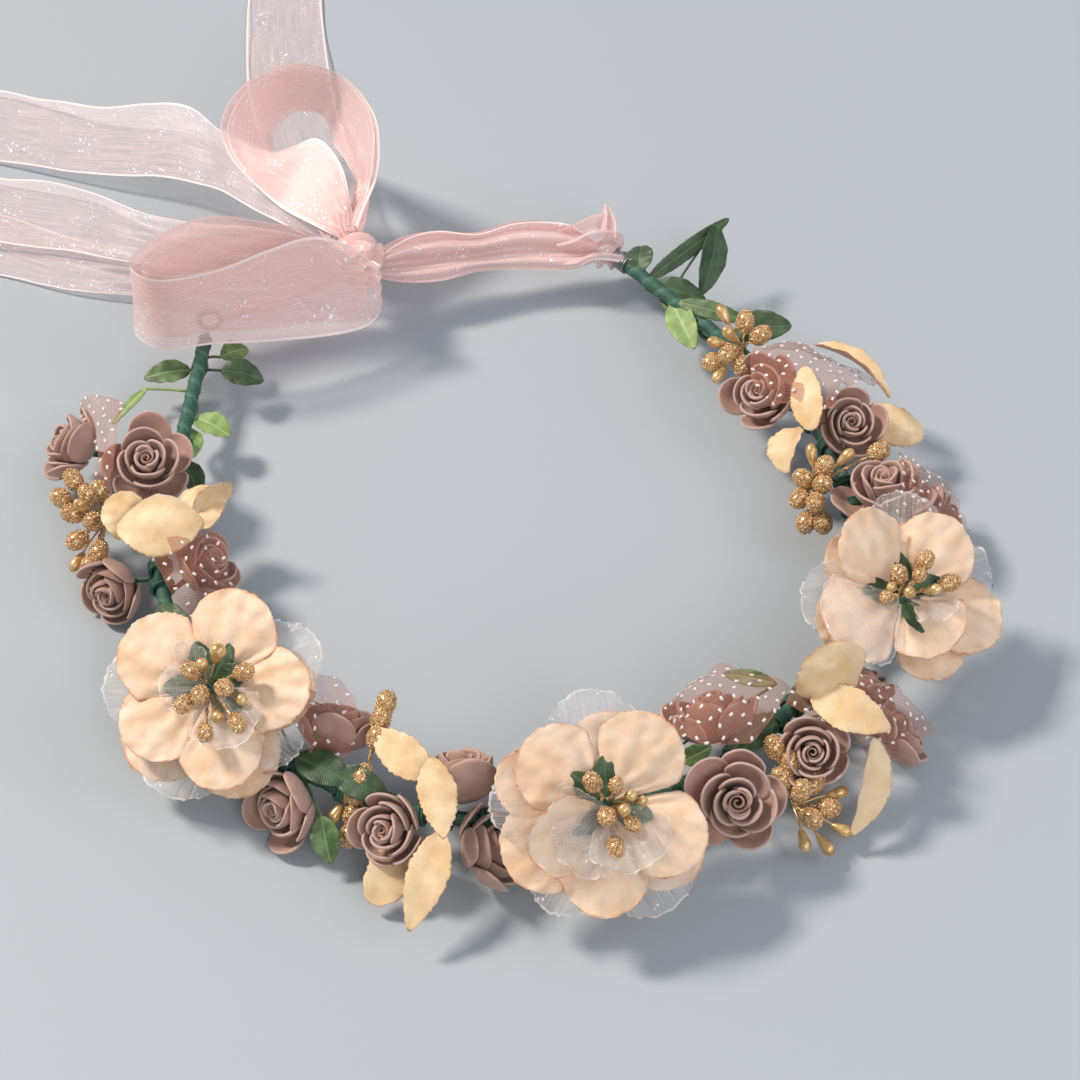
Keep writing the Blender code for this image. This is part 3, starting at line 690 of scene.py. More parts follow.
@dataclass(frozen=True)
class Flock(Finish):
    """Flocked dots of white fibre glued to the tulle."""

    name: str = "flocked dot, white"
    face: str = "FFF8F2"
    shade: str = "E9D9CF"

    def dress(self, add: Add) -> Inputs:
        """Gives dull warm white with a fuzzy grain."""
        grain = self.speckle(add, self.place(add, 0.25), 0.3, 0.7)
        dye = {0: grain, 6: linear(self.shade), 7: linear(self.face)}
        return {
            "Base Color": add("ShaderNodeMix", dye, data_type="RGBA").outputs[2],
            "Roughness": 0.7,
            "Sheen Weight": 0.4,
        }


@dataclass(frozen=True)
class PearlGold(Finish):
    """Dipped pearl lacquer over a starch bud: satin gold."""

    name: str = "pearl lacquer, gold"
    face: str = "E6C68E"
    deep: str = "BE935A"

    def dress(self, add: Add) -> Inputs:
        """Gives a satin metallic gold with slow changes of tone."""
        cloudy = self.speckle(add, self.place(add, 1.8), 0.35, 0.65)
        dye = {0: cloudy, 6: linear(self.deep), 7: linear(self.face)}
        grain = self.speckle(add, self.place(add, 0.3), 0.3, 0.7)
        return {
            "Base Color": add("ShaderNodeMix", dye, data_type="RGBA").outputs[2],
            "Normal": add("ShaderNodeBump", {"Height": grain, "Distance": 0.02 * MM, "Strength": 0.25}).outputs[0],
            "Metallic": 0.45,
            "Roughness": 0.33,
            "Coat Weight": 0.3,
            "Coat Roughness": 0.2,
        }


@dataclass(frozen=True)
class GlitterGold(Finish):
    """Glass micro-beads on gold lacquer: a bright rough crust."""

    name: str = "glass micro-beads, gold"
    face: str = "F0CE9A"
    deep: str = "A87440"

    def dress(self, add: Add) -> Inputs:
        """Gives each bead its own tone of gold."""
        cell = add("ShaderNodeTexVoronoi", {"Vector": self.place(add, 0.5), "Scale": 1.0}).outputs["Color"]
        tone = add("ShaderNodeSeparateColor", {0: cell}).outputs[0]
        dye = {0: tone, 6: linear(self.deep), 7: linear(self.face)}
        return {
            "Base Color": add("ShaderNodeMix", dye, data_type="RGBA").outputs[2],
            "Metallic": 0.4,
            "Roughness": 0.24,
            "Coat Weight": 0.6,
            "Coat Roughness": 0.12,
        }


@dataclass(frozen=True)
class WaxedLeaf(Finish):
    """Waxed satin leaf: printed green with pressed veins and a slight gloss."""

    name: str = "waxed satin leaf, mid green"
    face: str = "5F7A45"
    shade: str = "33502C"
    vein: str = "8FA468"

    def dress(self, add: Add) -> Inputs:
        """Gives mottled green with paler veins that run out from the midrib."""
        where = add("ShaderNodeSeparateXYZ", {0: self.cloth(add, 1.0)})
        across = add("ShaderNodeMath", {0: where.outputs[0]}, operation="ABSOLUTE").outputs[0]
        # Side veins leave the midrib 1.6 mm apart and slant forward.
        slant = where.outputs[1]
        for kind, amount in (("SUBTRACT", across), ("MULTIPLY", 2 * math.pi / 1.6)):
            slant = add("ShaderNodeMath", {0: slant, 1: amount}, operation=kind).outputs[0]
        wave = slant
        for kind in ("COSINE", "ABSOLUTE"):
            wave = add("ShaderNodeMath", {0: wave}, operation=kind).outputs[0]
        side = wave
        for kind, amount in (("POWER", 14.0), ("MULTIPLY", 0.55)):
            side = add("ShaderNodeMath", {0: side, 1: amount}, operation=kind).outputs[0]
        span = {"Value": across, "From Min": 0.1, "From Max": 0.32, "To Min": 1.0, "To Max": 0.0}
        midrib = add("ShaderNodeMapRange", span).outputs[0]
        veins = add("ShaderNodeMath", {0: side, 1: midrib}, operation="MAXIMUM").outputs[0]
        mottle = self.speckle(add, self.place(add, 3.0), 0.35, 0.65)
        dye = {0: mottle, 6: linear(self.shade), 7: linear(self.face)}
        body = add("ShaderNodeMix", dye, data_type="RGBA").outputs[2]
        faint = add("ShaderNodeMath", {0: veins, 1: 0.6}, operation="MULTIPLY").outputs[0]
        grain = self.speckle(add, self.place(add, 0.5), 0.3, 0.7)
        low = add("ShaderNodeMath", {0: grain, 1: 0.4}, operation="MULTIPLY").outputs[0]
        height = add("ShaderNodeMath", {0: low, 1: veins}, operation="SUBTRACT").outputs[0]
        veined = {0: faint, 6: body, 7: linear(self.vein)}
        return {
            "Base Color": add("ShaderNodeMix", veined, data_type="RGBA").outputs[2],
            "Normal": add("ShaderNodeBump", {"Height": height, "Distance": 0.12 * MM, "Strength": 0.5}).outputs[0],
            "Roughness": 0.42,
            "Sheen Weight": 0.15,
        }


@dataclass(frozen=True)
class CrepeTape(Finish):
    """Waxed crepe paper tape: dark teal green, dull, with fine creases across it."""

    name: str = "waxed crepe tape, dark green"
    face: str = "3B6A58"
    shade: str = "1F4438"
    worn: str = "5E8C78"

    def dress(self, add: Add) -> Inputs:
        """Gives dark green that is paler on the raised edge of each turn."""
        # Crepe creases are 0.3 mm apart, drawn at 0.5 mm.
        crepe = self.speckle(add, self.place(add, 0.5), 0.3, 0.7)
        dye = {0: crepe, 6: linear(self.shade), 7: linear(self.face)}
        body = add("ShaderNodeMix", dye, data_type="RGBA").outputs[2]
        rubbed = add("ShaderNodeMath", {0: self.rim(add, 0.55, 1.0), 1: 0.5}, operation="MULTIPLY").outputs[0]
        edged = {0: rubbed, 6: body, 7: linear(self.worn)}
        return {
            "Base Color": add("ShaderNodeMix", edged, data_type="RGBA").outputs[2],
            "Normal": add("ShaderNodeBump", {"Height": crepe, "Distance": 0.08 * MM, "Strength": 0.6}).outputs[0],
            "Roughness": 0.62,
        }


@dataclass(frozen=True)
class DrawnWire(Finish):
    """Cold drawn steel wire: grey, satin, with faint draw lines."""

    name: str = "drawn steel wire"
    face: str = "B4B4B6"
    shade: str = "8E8E92"

    def dress(self, add: Add) -> Inputs:
        """Gives satin grey metal with uneven polish."""
        marks = self.speckle(add, self.place(add, 0.6, (1, 1, 4)), 0.3, 0.7)
        dye = {0: marks, 6: linear(self.shade), 7: linear(self.face)}
        return {
            "Base Color": add("ShaderNodeMix", dye, data_type="RGBA").outputs[2],
            "Roughness": add("ShaderNodeMapRange", {"Value": marks, "To Min": 0.28, "To Max": 0.45}).outputs[0],
            "Metallic": 1.0,
        }


FOAM = FoamSheet()
SATIN = {
    Cloth.CHAMPAGNE: SizedSatin(),
    Cloth.CREAM: SizedSatin("sized satin, cream", "F0D4AA", "DDB57C", "C08A54"),
}
# A darker copy of the cream satin, used on the backs of the cream leaves and petals.
LINING = SizedSatin("sized satin, toasted back", "D9A878", "B98254", "A06A40")
WHITE_ORGANZA = Organza()
PINK_ORGANZA = Organza("shot organza ribbon, pink", "FCD6D2", "FFE9E4", 0.55, 0.5, 0.93, 0.6, 0.5)
DENSE_ORGANZA = Organza("shot organza ribbon, gathered", "FACEC6", "FCD0C8", 0.8, 0.5, 0.9, 0.3, 0.3)
TAIL_ORGANZA = Organza("shot organza ribbon, one layer", "F2DCDC", "FFE4E0", 0.36, 0.5, 0.94, 0.6, 0.5)
TULLE, FLOCK, PEARL, GLITTER, TAPE, WIRE = Tulle(), Flock(), PearlGold(), GlitterGold(), CrepeTape(), DrawnWire()
LEAF = {
    Green.DARK: WaxedLeaf("waxed satin leaf, dark green", "3F5B38", "22391F", "5C7A4C"),
    Green.MID: WaxedLeaf(),
    Green.LIGHT: WaxedLeaf("waxed satin leaf, light green", "93AE66", "6E8E48", "C3D39A"),
}


# ---------------- node recipes for what repeats


@dataclass(frozen=True)
class Recipe:
    """A tree of geometry nodes with named sizes, applied once and turned into plain mesh."""

    name: str
    sizes: dict[str, float]
    seed: int = 1

    def tree(self, finish: Finish) -> Tree:
        """Makes the tree, with sockets for its sizes and its seed.

        Args:
            finish: What the result is made of.

        Returns:
            The tree.
        """
        made = bpy.data.node_groups.new(self.name, "GeometryNodeTree")
        kinds = {"Geometry": "Geometry", **dict.fromkeys(self.sizes, "Float"), "Seed": "Int"}
        for label, kind in kinds.items():
            made.interface.new_socket(label, in_out="INPUT", socket_type=f"NodeSocket{kind}")
        made.interface.new_socket("Geometry", in_out="OUTPUT", socket_type="NodeSocketGeometry")
        add = partial(add_node, made)
        plain = add("GeometryNodeRealizeInstances", {0: self.grow(add, add("NodeGroupInput"))}).outputs[0]
        dressed = add("GeometryNodeSetMaterial", {0: plain, "Material": finish.material()}).outputs[0]
        add("NodeGroupOutput", {0: dressed})
        return made

    def grow(self, add: Add, start: Node) -> Socket:
        """Returns the geometry that the recipe makes."""
        raise NotImplementedError

    def scatter(self, add: Add, start: Node) -> Node:
        """Returns points spread evenly but at random over the mesh that comes in."""
        links = {"Mesh": start.outputs[0], "Distance Min": start.outputs["Spacing"]}
        links |= {"Density Max": start.outputs["Density"], "Seed": start.outputs["Seed"]}
        return add("GeometryNodeDistributePointsOnFaces", links, distribute_method="POISSON")

    def apply(self, obj: Object, finish: Finish) -> Object:
        """Runs the recipe on an object.

        Args:
            obj: The object that it grows from, which is used up.
            finish: What it is made of.

        Returns:
            A new plain mesh object of the same name.
        """
        step = obj.modifiers.new("recipe", "NODES")
        step.node_group = self.tree(finish)
        values = {label: float(size) for label, size in self.sizes.items()} | {"Seed": self.seed}
        for item in step.node_group.interface.items_tree:
            if item.in_out == "INPUT" and item.name in values:
                step[item.identifier] = values[item.name]
        graph = bpy.context.evaluated_depsgraph_get()
        mesh = bpy.data.meshes.new_from_object(obj.evaluated_get(graph), depsgraph=graph)
        mesh.name = name = obj.name
        bpy.data.objects.remove(obj)
        mesh.polygons.foreach_set("use_smooth", [True] * len(mesh.polygons))
        return link_in(name, mesh)


@dataclass(frozen=True)
class BeadCrust(Recipe):
    """Micro-beads stuck all over the heads that it is given."""

    name: str = "bead crust"
    sizes: dict[str, float] = field(
        default_factory=lambda: {"Bead radius": 0.00034, "Spacing": 0.00048, "Density": 3.4e6}
    )

    def grow(self, add: Add, start: Node) -> Socket:
        """Scatters beads on the surface and keeps the heads beneath them."""
        spots = self.scatter(add, start).outputs[0]
        ball = {"Radius": start.outputs["Bead radius"], "Subdivisions": 1}
        bead = add("GeometryNodeMeshIcoSphere", ball).outputs[0]
        spread = {2: 0.75, 3: 1.25, "Seed": start.outputs["Seed"]}
        size = add("FunctionNodeRandomValue", spread, data_type="FLOAT").outputs[1]
        beads = add("GeometryNodeInstanceOnPoints", {"Points": spots, "Instance": bead, "Scale": size})
        return add("GeometryNodeJoinGeometry", {0: [start.outputs[0], beads.outputs[0]]}).outputs[0]


@dataclass(frozen=True)
class FlockDots(Recipe):
    """Flocked dots scattered over a net, in place of the net that it is given."""

    name: str = "flock dots"
    sizes: dict[str, float] = field(
        default_factory=lambda: {"Dot radius": 0.0005, "Spacing": 0.0028, "Density": 2.4e5}
    )

    def grow(self, add: Add, start: Node) -> Socket:
        """Lays small chips on the net, turned at random but flat on it."""
        spots = self.scatter(add, start)
        shape = {0: (2.2, 1.3, 0.7), "Scale": start.outputs["Dot radius"]}
        size = add("ShaderNodeVectorMath", shape, operation="SCALE").outputs[0]
        chip = add("GeometryNodeMeshCube", {"Size": size}).outputs[0]
        spread = {0: (0, 0, 0), 1: (0, 0, 6.28), "Seed": start.outputs["Seed"]}
        spin = add("FunctionNodeRandomValue", spread, data_type="FLOAT_VECTOR").outputs[0]
        links = {"Rotation": spots.outputs["Rotation"], "Rotate By": spin}
        turned = add("FunctionNodeRotateRotation", links, rotation_space="LOCAL").outputs[0]
        links = {"Points": spots.outputs["Points"], "Instance": chip, "Rotation": turned}
        return add("GeometryNodeInstanceOnPoints", links).outputs[0]


@dataclass(frozen=True)
class TapeTurns(Recipe):
    """Floral tape wound along a wire, each turn lapping the one before it."""

    name: str = "tape turns"
    sizes: dict[str, float] = field(
        default_factory=lambda: {"Radius": 0.00175, "Lap": 0.00036, "Pitch": 0.0056}
    )

    def grow(self, add: Add, start: Node) -> Socket:
        """Sweeps a circle along the wire and raises it by how far round its turn it is."""
        fine = add("GeometryNodeResampleCurve", {"Curve": start.outputs[0], "Count": 900}).outputs[0]
        ring = {"Resolution": 20, "Radius": start.outputs["Radius"]}
        ring = add("GeometryNodeCurvePrimitiveCircle", ring).outputs[0]
        marked, read = [], []
        for curve, label, measure in ((fine, "far", "Length"), (ring, "about", "Factor")):
            value = add("GeometryNodeSplineParameter").outputs[measure]
            links = {0: curve, "Name": label, "Value": value}
            marked.append(add("GeometryNodeStoreNamedAttribute", links, data_type="FLOAT").outputs[0])
            read.append(add("GeometryNodeInputNamedAttribute", {"Name": label}, data_type="FLOAT").outputs[0])
        links = {"Curve": marked[0], "Profile Curve": marked[1], "Fill Caps": True}
        swept = add("GeometryNodeCurveToMesh", links).outputs[0]
        turn = {0: read[0], 1: start.outputs["Pitch"]}
        turn = {0: add("ShaderNodeMath", turn, operation="DIVIDE").outputs[0], 1: read[1]}
        turn = {0: add("ShaderNodeMath", turn, operation="ADD").outputs[0]}
        step = add("ShaderNodeMath", turn, operation="FRACT").outputs[0]
        links = {0: swept, "Name": "rim", "Value": step}
        worn = add("GeometryNodeStoreNamedAttribute", links, data_type="FLOAT").outputs[0]
        rise = add("ShaderNodeMath", {0: step, 1: start.outputs["Lap"]}, operation="MULTIPLY").outputs[0]
        links = {0: add("GeometryNodeInputNormal").outputs[0], "Scale": rise}
        out = add("ShaderNodeVectorMath", links, operation="SCALE").outputs[0]
        return add("GeometryNodeSetPosition", {0: worn, "Offset": out}).outputs[0]


# ---------------- stems and the ring


def add_stem(shell: Shell, phi: float, end: np.ndarray, slot: int, radius: float = 0.9) -> None:
    """Adds a stem that is wound round the band and rises to a point.

    Args:
        shell: The mesh that it joins.
        phi: Where it is wound on.
        end: Where it ends.
        slot: Which finish it takes.
        radius: Its radius.
    """
    centre, along = band_at(phi)
    reach = unit((end - centre) - along * ((end - centre) @ along))
    side = np.cross(along, reach)
    hold = TAPE_RADIUS + 0.75
    turns = np.linspace(-2.6, 0, 34)
    coil = []
    for t in turns:
        a = 2 * math.pi * t
        coil.append(centre + along * (1.25 + t * 0.95) + hold * (math.cos(a) * reach + math.sin(a) * side))
    top = coil[-1]
    rise = spline(np.array([top, top + (side * 0.8 + reach) * 1.1, (top + end) / 2 + side * 0.4, end]), 6)[1:]
    path = np.concatenate((coil, rise))
    # The stem is thin where it is wound on and swells as it rises.
    radii = np.concatenate((np.full(len(coil), 0.55), np.linspace(0.55, radius, len(rise))))
    shell.tube(path, radii, 8, slot)


@dataclass
class Head:
    """What stands on its own stem: where the stem is wound on, its middle and the way it faces."""

    name: str
    phi: float
    centre: Row
    facing: Row

    def placed(self, grid: np.ndarray) -> np.ndarray:
        """Returns points of its own frame in the crown's frame."""
        return grid @ facing_axes(self.facing) + np.array(self.centre)


@dataclass
class Bunch:
    """What springs from one hub: where its stem is wound on, and the hub."""

    name: str
    phi: float
    hub: Row

    def stem(self, shell: Shell, slot: int) -> None:
        """Adds the stem up to the hub."""
        add_stem(shell, self.phi, np.array(self.hub, float), slot)

    def stalk(self, shell: Shell, end: np.ndarray) -> None:
        """Adds a fine stalk from the hub to a head."""
        hub = np.array(self.hub, float)
        shell.tube(spline(np.array((hub, (hub + end) / 2 + UP * 0.8, end)), 4), STALK_RADIUS, 6)


@dataclass
class WireBand:
    """The ring: a steel wire with an eye at each end, wound with tape."""

    eye_gap: float = 7.6
    thread_radius: float = 0.26
    whipping_radius: float = 2.5
    whipping_pitch: float = 0.75

    def path(self) -> np.ndarray:
        """Returns points along the wire, from just inside one eye to the other."""
        left, right = self.ends()
        return np.array([band_at(p)[0] for p in np.linspace(left, right, 90)])

    def ends(self) -> tuple[float, float]:
        """Returns the phi of both ends of the tape."""
        found = []
        for edge, eye in ((ARC_LEFT, EYE_LEFT), (ARC_RIGHT, EYE_RIGHT)):
            start = band_at(edge)[0]
            run = float(np.linalg.norm((eye - start)[:2])) - self.eye_gap
            found.append(edge + math.copysign(math.degrees(run / RING_RADIUS), edge))
        return found[0], found[1]

    def tape(self) -> Object:
        """Returns the tape as a mesh of lapped turns."""
        curve = bpy.data.curves.new("tape_turns", "CURVE")
        curve.dimensions = "3D"
        line = curve.splines.new("POLY")
        path = self.path()
        line.points.add(len(path) - 1)
        flat = np.concatenate((path * MM, np.ones((len(path), 1))), axis=1)
        line.points.foreach_set("co", flat.astype(np.float32).ravel())
        return TapeTurns().apply(link_in("tape_turns", curve), TAPE)

    def thread(self) -> Object:
        """Returns the fine thread that is whipped round the right end of the tape."""
        shell = Shell()
        base, along = band_at(self.ends()[1] - 1.0)
        side = np.cross(along, UP)
        path = []
        for t in np.linspace(0, 6, 97):
            a = 2 * math.pi * t
            out = self.whipping_radius * (math.cos(a) * UP + math.sin(a) * side)
            path.append(base + along * t * self.whipping_pitch + out)
        shell.tube(np.array(path), self.thread_radius, 6)
        return shell.build("whipping_thread", WIRE)

    def build(self, frame: dict) -> None:
        """Makes the tape and the thread, and dresses the bare wire.

        Args:
            frame: The loaded frame, with the wire among its nodes.
        """
        seat(self.tape(), Body.CROWN, "floral_tape", "tape_wrap")
        seat(self.thread(), Body.CROWN, "steel_wire")
        wire = frame["nodes"]["wire_core"]
        wire.data.materials.clear()
        wire.data.materials.append(WIRE.material())


# ---------------- foam roses


@dataclass(frozen=True)
class PetalRing:
    """One ring of a rose: each point is (radius, height) as a share of the rose's radius."""

    count: int
    span: float
    foot: Pair
    open_mid: Pair
    open_lip: Pair
    bud_mid: Pair
    bud_lip: Pair


ROSE_RINGS = (
    PetalRing(3, 170, (0.08, -0.30), (0.27, 0.14), (0.25, 0.56), (0.28, 0.15), (0.20, 0.54)),
    PetalRing(3, 150, (0.10, -0.34), (0.48, 0.06), (0.44, 0.52), (0.52, 0.10), (0.34, 0.52)),
    PetalRing(4, 112, (0.12, -0.40), (0.72, -0.12), (0.74, 0.36), (0.78, 0.00), (0.56, 0.46)),
    PetalRing(5, 88, (0.16, -0.46), (0.86, -0.42), (1.14, -0.02), (0.98, -0.10), (0.82, 0.52)),
)


@dataclass
class FoamRose(Head):
    """A rose rolled from foam sheet on a taped stem."""

    share: float
    open: float
    seed: int
    lobe: float = 0.88
    unfurl: float = 0.5
    thick: float = 0.85

    def petal(self, shell: Shell, ring: PetalRing, turn: float, rng: np.random.Generator) -> None:
        """Adds one cupped petal to the rose.

        Args:
            shell: The mesh that it joins.
            ring: The ring that it belongs to.
            turn: Where it is round the rose, in radians.
            rng: Makes each petal a little different.
        """
        x, y, rim = disc_grid(15)
        s = (y + 1) / 2
        radius = ROSE_RADIUS * self.share
        outer = ring is ROSE_RINGS[-1]
        wide = self.open * (1.0 if outer else self.unfurl)
        mid = np.array(ring.bud_mid) * (1 - wide) + np.array(ring.open_mid) * wide
        lip = np.array(ring.bud_lip) * (1 - wide) + np.array(ring.open_lip) * wide
        slack = 0.02 + 0.1 * lip[0]
        lip = lip * (1 + rng.uniform(-slack, slack)) + (0, rng.uniform(-slack, 1.4 * slack))
        foot = np.array(ring.foot)
        curve = [foot[k] * (1 - s) ** 2 + 2 * mid[k] * s * (1 - s) + lip[k] * s**2 for k in (0, 1)]
        # One side of each petal is tucked under the next, and the lip rolls out a little.
        out = curve[0] + 0.055 * x + 0.05 * self.open * np.clip(s - 0.82, 0, 1) / 0.18
        height = curve[1] - 0.05 * x**2 * self.open - 0.03 * np.clip(s - 0.85, 0, 1) / 0.15
        span = ring.span * (self.lobe if outer else 1.0)
        theta = turn + math.radians(span / 2) * x * (1 + rng.uniform(-0.08, 0.08))
        out = out * (1 - 0.10 * self.open * x**2)
        grid = np.stack((out * np.cos(theta), out * np.sin(theta), height), -1) * radius
        grid += 0.22 * ripple(grid, 7.0, int(rng.integers(1 << 30)))[..., None] * np.array((0.6, 0.6, 1.0))
        uv = np.stack((x, y), -1) * radius * 0.5
        shell.sheet((self.placed(grid), uv, rim), self.thick * self.share**0.5, 0.1)

    def heart(self, shell: Shell) -> None:
        """Adds the strip rolled up at the rose's middle, which is thinner than the petals.

        Args:
            shell: The mesh that it joins.
        """
        radius = ROSE_RADIUS * self.share
        t = np.linspace(0, 1, 56)
        turn = t * 2.15 * 2 * math.pi + self.seed
        out = (0.035 + 0.2 * t) * radius
        s = np.linspace(0, 1, 9)
        lift = (-0.25 + (0.70 + 0.05 * np.sin(turn * 0.8)[:, None]) * s[None, :]) * radius
        spread = out[:, None] * (0.9 + 0.12 * s[None, :])
        grid = np.stack((spread * np.cos(turn)[:, None], spread * np.sin(turn)[:, None], lift), -1)
        rim = np.maximum(abs(2 * t - 1)[:, None] ** 8, np.broadcast_to(s[None, :] ** 2, (56, 9)))
        uv = np.stack(np.broadcast_arrays(t[:, None] * 40, s[None, :] * 8), -1)
        shell.sheet((self.placed(grid), uv, rim), self.thick * 0.72 * self.share, 0.12)

    def build(self) -> None:
        """Makes the rose with its stem and puts it on the crown."""
        rng = np.random.default_rng(self.seed)
        shell = Shell()
        self.heart(shell)
        spin = rng.uniform(0, 2 * math.pi)
        for ring in ROSE_RINGS:
            spin += math.radians(47)
            for k in range(ring.count):
                self.petal(shell, ring, spin + 2 * math.pi * k / ring.count + rng.uniform(-0.16, 0.16), rng)
        add_stem(shell, self.phi, self.placed(np.array((0, 0, -0.3 * ROSE_RADIUS * self.share))), 1)
        seat(shell.build(self.name + "_petals", FOAM, TAPE), Body.CROWN, "rose_foam", self.name)


# ---------------- cloth petals and leaves


@dataclass(frozen=True)
class PetalCut:
    """One cloth petal, cut round with a narrow foot and pressed into shape."""

    turn: float
    length: float
    width: float
    lift: float = 8.0
    start: float = 1.6
    height: float = 1.0
    roll: float = 0.0
    dome: float = 1.2
    crease: float = 0.5
    curl: float = 0.6
    bend: float = 0.0
    fold: float = 0.0
    seed: int = 1

    def grid(self, count: int, fray: float, place: Callable[[np.ndarray], np.ndarray]) -> Grid:
        """Shapes the petal.

        Args:
            count: Points along each side of its grid.
            fray: How far its cut edge is ragged.
            place: Takes points of the flower's own frame to the crown's.

        Returns:
            Its points, its flat coordinates and its nearness to the rim, turned to face outwards.
        """
        x, y, rim = disc_grid(count)
        rng = np.random.default_rng(self.seed)
        angle = np.arctan2(y, x)
        bins = rng.uniform(-1, 1, 150)
        jag = bins[((angle + math.pi) / (2 * math.pi) * 149).astype(int)]
        slow = ripple(np.stack((np.cos(angle), np.sin(angle)), -1), 0.9, self.seed + 5)
        edge = 1 + (fray * jag / (self.width / 2) + 0.018 * slow) * rim**10
        x, y = x * edge, y * edge
        s = (y + 1) / 2
        waist = 0.24 + 0.76 * np.clip(s * 1.9, 0, 1) ** 0.8
        across, along = x * self.width / 2 * waist, s * self.length
        fan = x / (0.35 + s)
        # Broad creases run through the petal's middle, and finer ones through its upper edge.
        ridges = np.cos(fan * 9 + self.seed) * np.exp(-((s - 0.45) ** 2) / 0.09)
        ridges += 0.6 * np.cos(fan * 17 + 2 * self.seed) * np.exp(-((s - 0.85) ** 2) / 0.03)
        up = self.dome * (1 - x**2) * np.sin(math.pi * np.clip(s, 0, 1)) + self.crease * 0.5 * ridges
        up = up + self.curl * np.clip(rim - 0.72, 0, 1) ** 2 / 0.078 * slow + self.bend * s**2
        up = up + self.fold * np.abs(x) ** 1.5 * self.width / 2
        up = up + 0.22 * ripple(np.stack((across, along), -1), 4.5, self.seed + 9)
        tilt, roll = math.radians(self.lift), math.radians(self.roll)
        across, up = across * math.cos(roll) - up * math.sin(roll), across * math.sin(roll) + up * math.cos(roll)
        out = self.start + along * math.cos(tilt) - up * math.sin(tilt)
        rise = self.height + along * math.sin(tilt) + up * math.cos(tilt)
        a = math.radians(self.turn)
        east = out * math.cos(a) + across * math.sin(a)
        grid = place(np.stack((east, out * math.sin(a) - across * math.cos(a), rise), -1))
        uv = np.stack((x * self.width / 2, s * self.length), -1)
        return grid[:, ::-1], uv[:, ::-1], rim[:, ::-1]


@dataclass(frozen=True)
class LeafCut:
    """One pointed leaf or petal, from root to tip, folded along its middle."""

    root: Row
    tip: Row
    facing: Row
    width: float
    bow: float = 1.5
    fold: float = 0.18
    blunt: float = 0.0
    twist: float = 0.0
    seed: int = 1

    def add(self, shell: Shell, thick: float, teeth: float, slot: int = 0, under: int | None = None) -> None:
        """Adds the leaf to a mesh.

        Args:
            shell: The mesh.
            thick: Its thickness.
            teeth: The depth of its ragged edge.
            slot: Which finish it takes.
            under: Which finish its second side takes, if another.
        """
        rng = np.random.default_rng(self.seed)
        root = np.array(self.root, float)
        reach = np.array(self.tip, float) - root
        across = unit(np.cross(np.array(self.facing, float), reach))
        out = unit(np.cross(reach, across))
        s = np.linspace(0, 1, 37)
        t = np.sin(np.linspace(-1, 1, 13) * math.pi / 2)
        wide = np.sin(math.pi * s**0.85) ** (0.85 - 0.45 * self.blunt) * self.width / 2 + 0.22
        jag = teeth * rng.uniform(-1, 1, (37, 1))
        half = wide[:, None] * t[None, :] + jag * np.sign(t)[None, :] * abs(t)[None, :] ** 6
        flutter = 0.25 * np.sin(s * 23 + self.seed)[:, None] * abs(t)[None, :] ** 2 * self.width / 10
        lift = self.fold * abs(half) + self.bow * np.sin(math.pi * s)[:, None] + flutter
        turn = math.radians(self.twist) * (s - 0.3)[:, None]
        flat = half * np.cos(turn) - lift * np.sin(turn)
        rise = half * np.sin(turn) + lift * np.cos(turn)
        grid = root + reach * s[:, None, None] + across * flat[..., None] + out * rise[..., None]
        rim = np.maximum(np.broadcast_to(abs(t)[None, :], half.shape), abs(2 * s - 1)[:, None] ** 6)
        uv = np.stack((half, np.broadcast_to(s[:, None] * float(np.linalg.norm(reach)), half.shape)), -1)
        # Turned so that the upper face is the one that the leaf faces with.
        shell.sheet((grid[:, ::-1], uv[:, ::-1], rim[:, ::-1]), thick, 0.2, slot, under)


@dataclass(frozen=True)
class Pip:
    """One stamen: where its head is in the flower's frame, and its size."""

    turn: float
    out: float
    height: float
    radius: float = 2.35
    length: float = 6.0


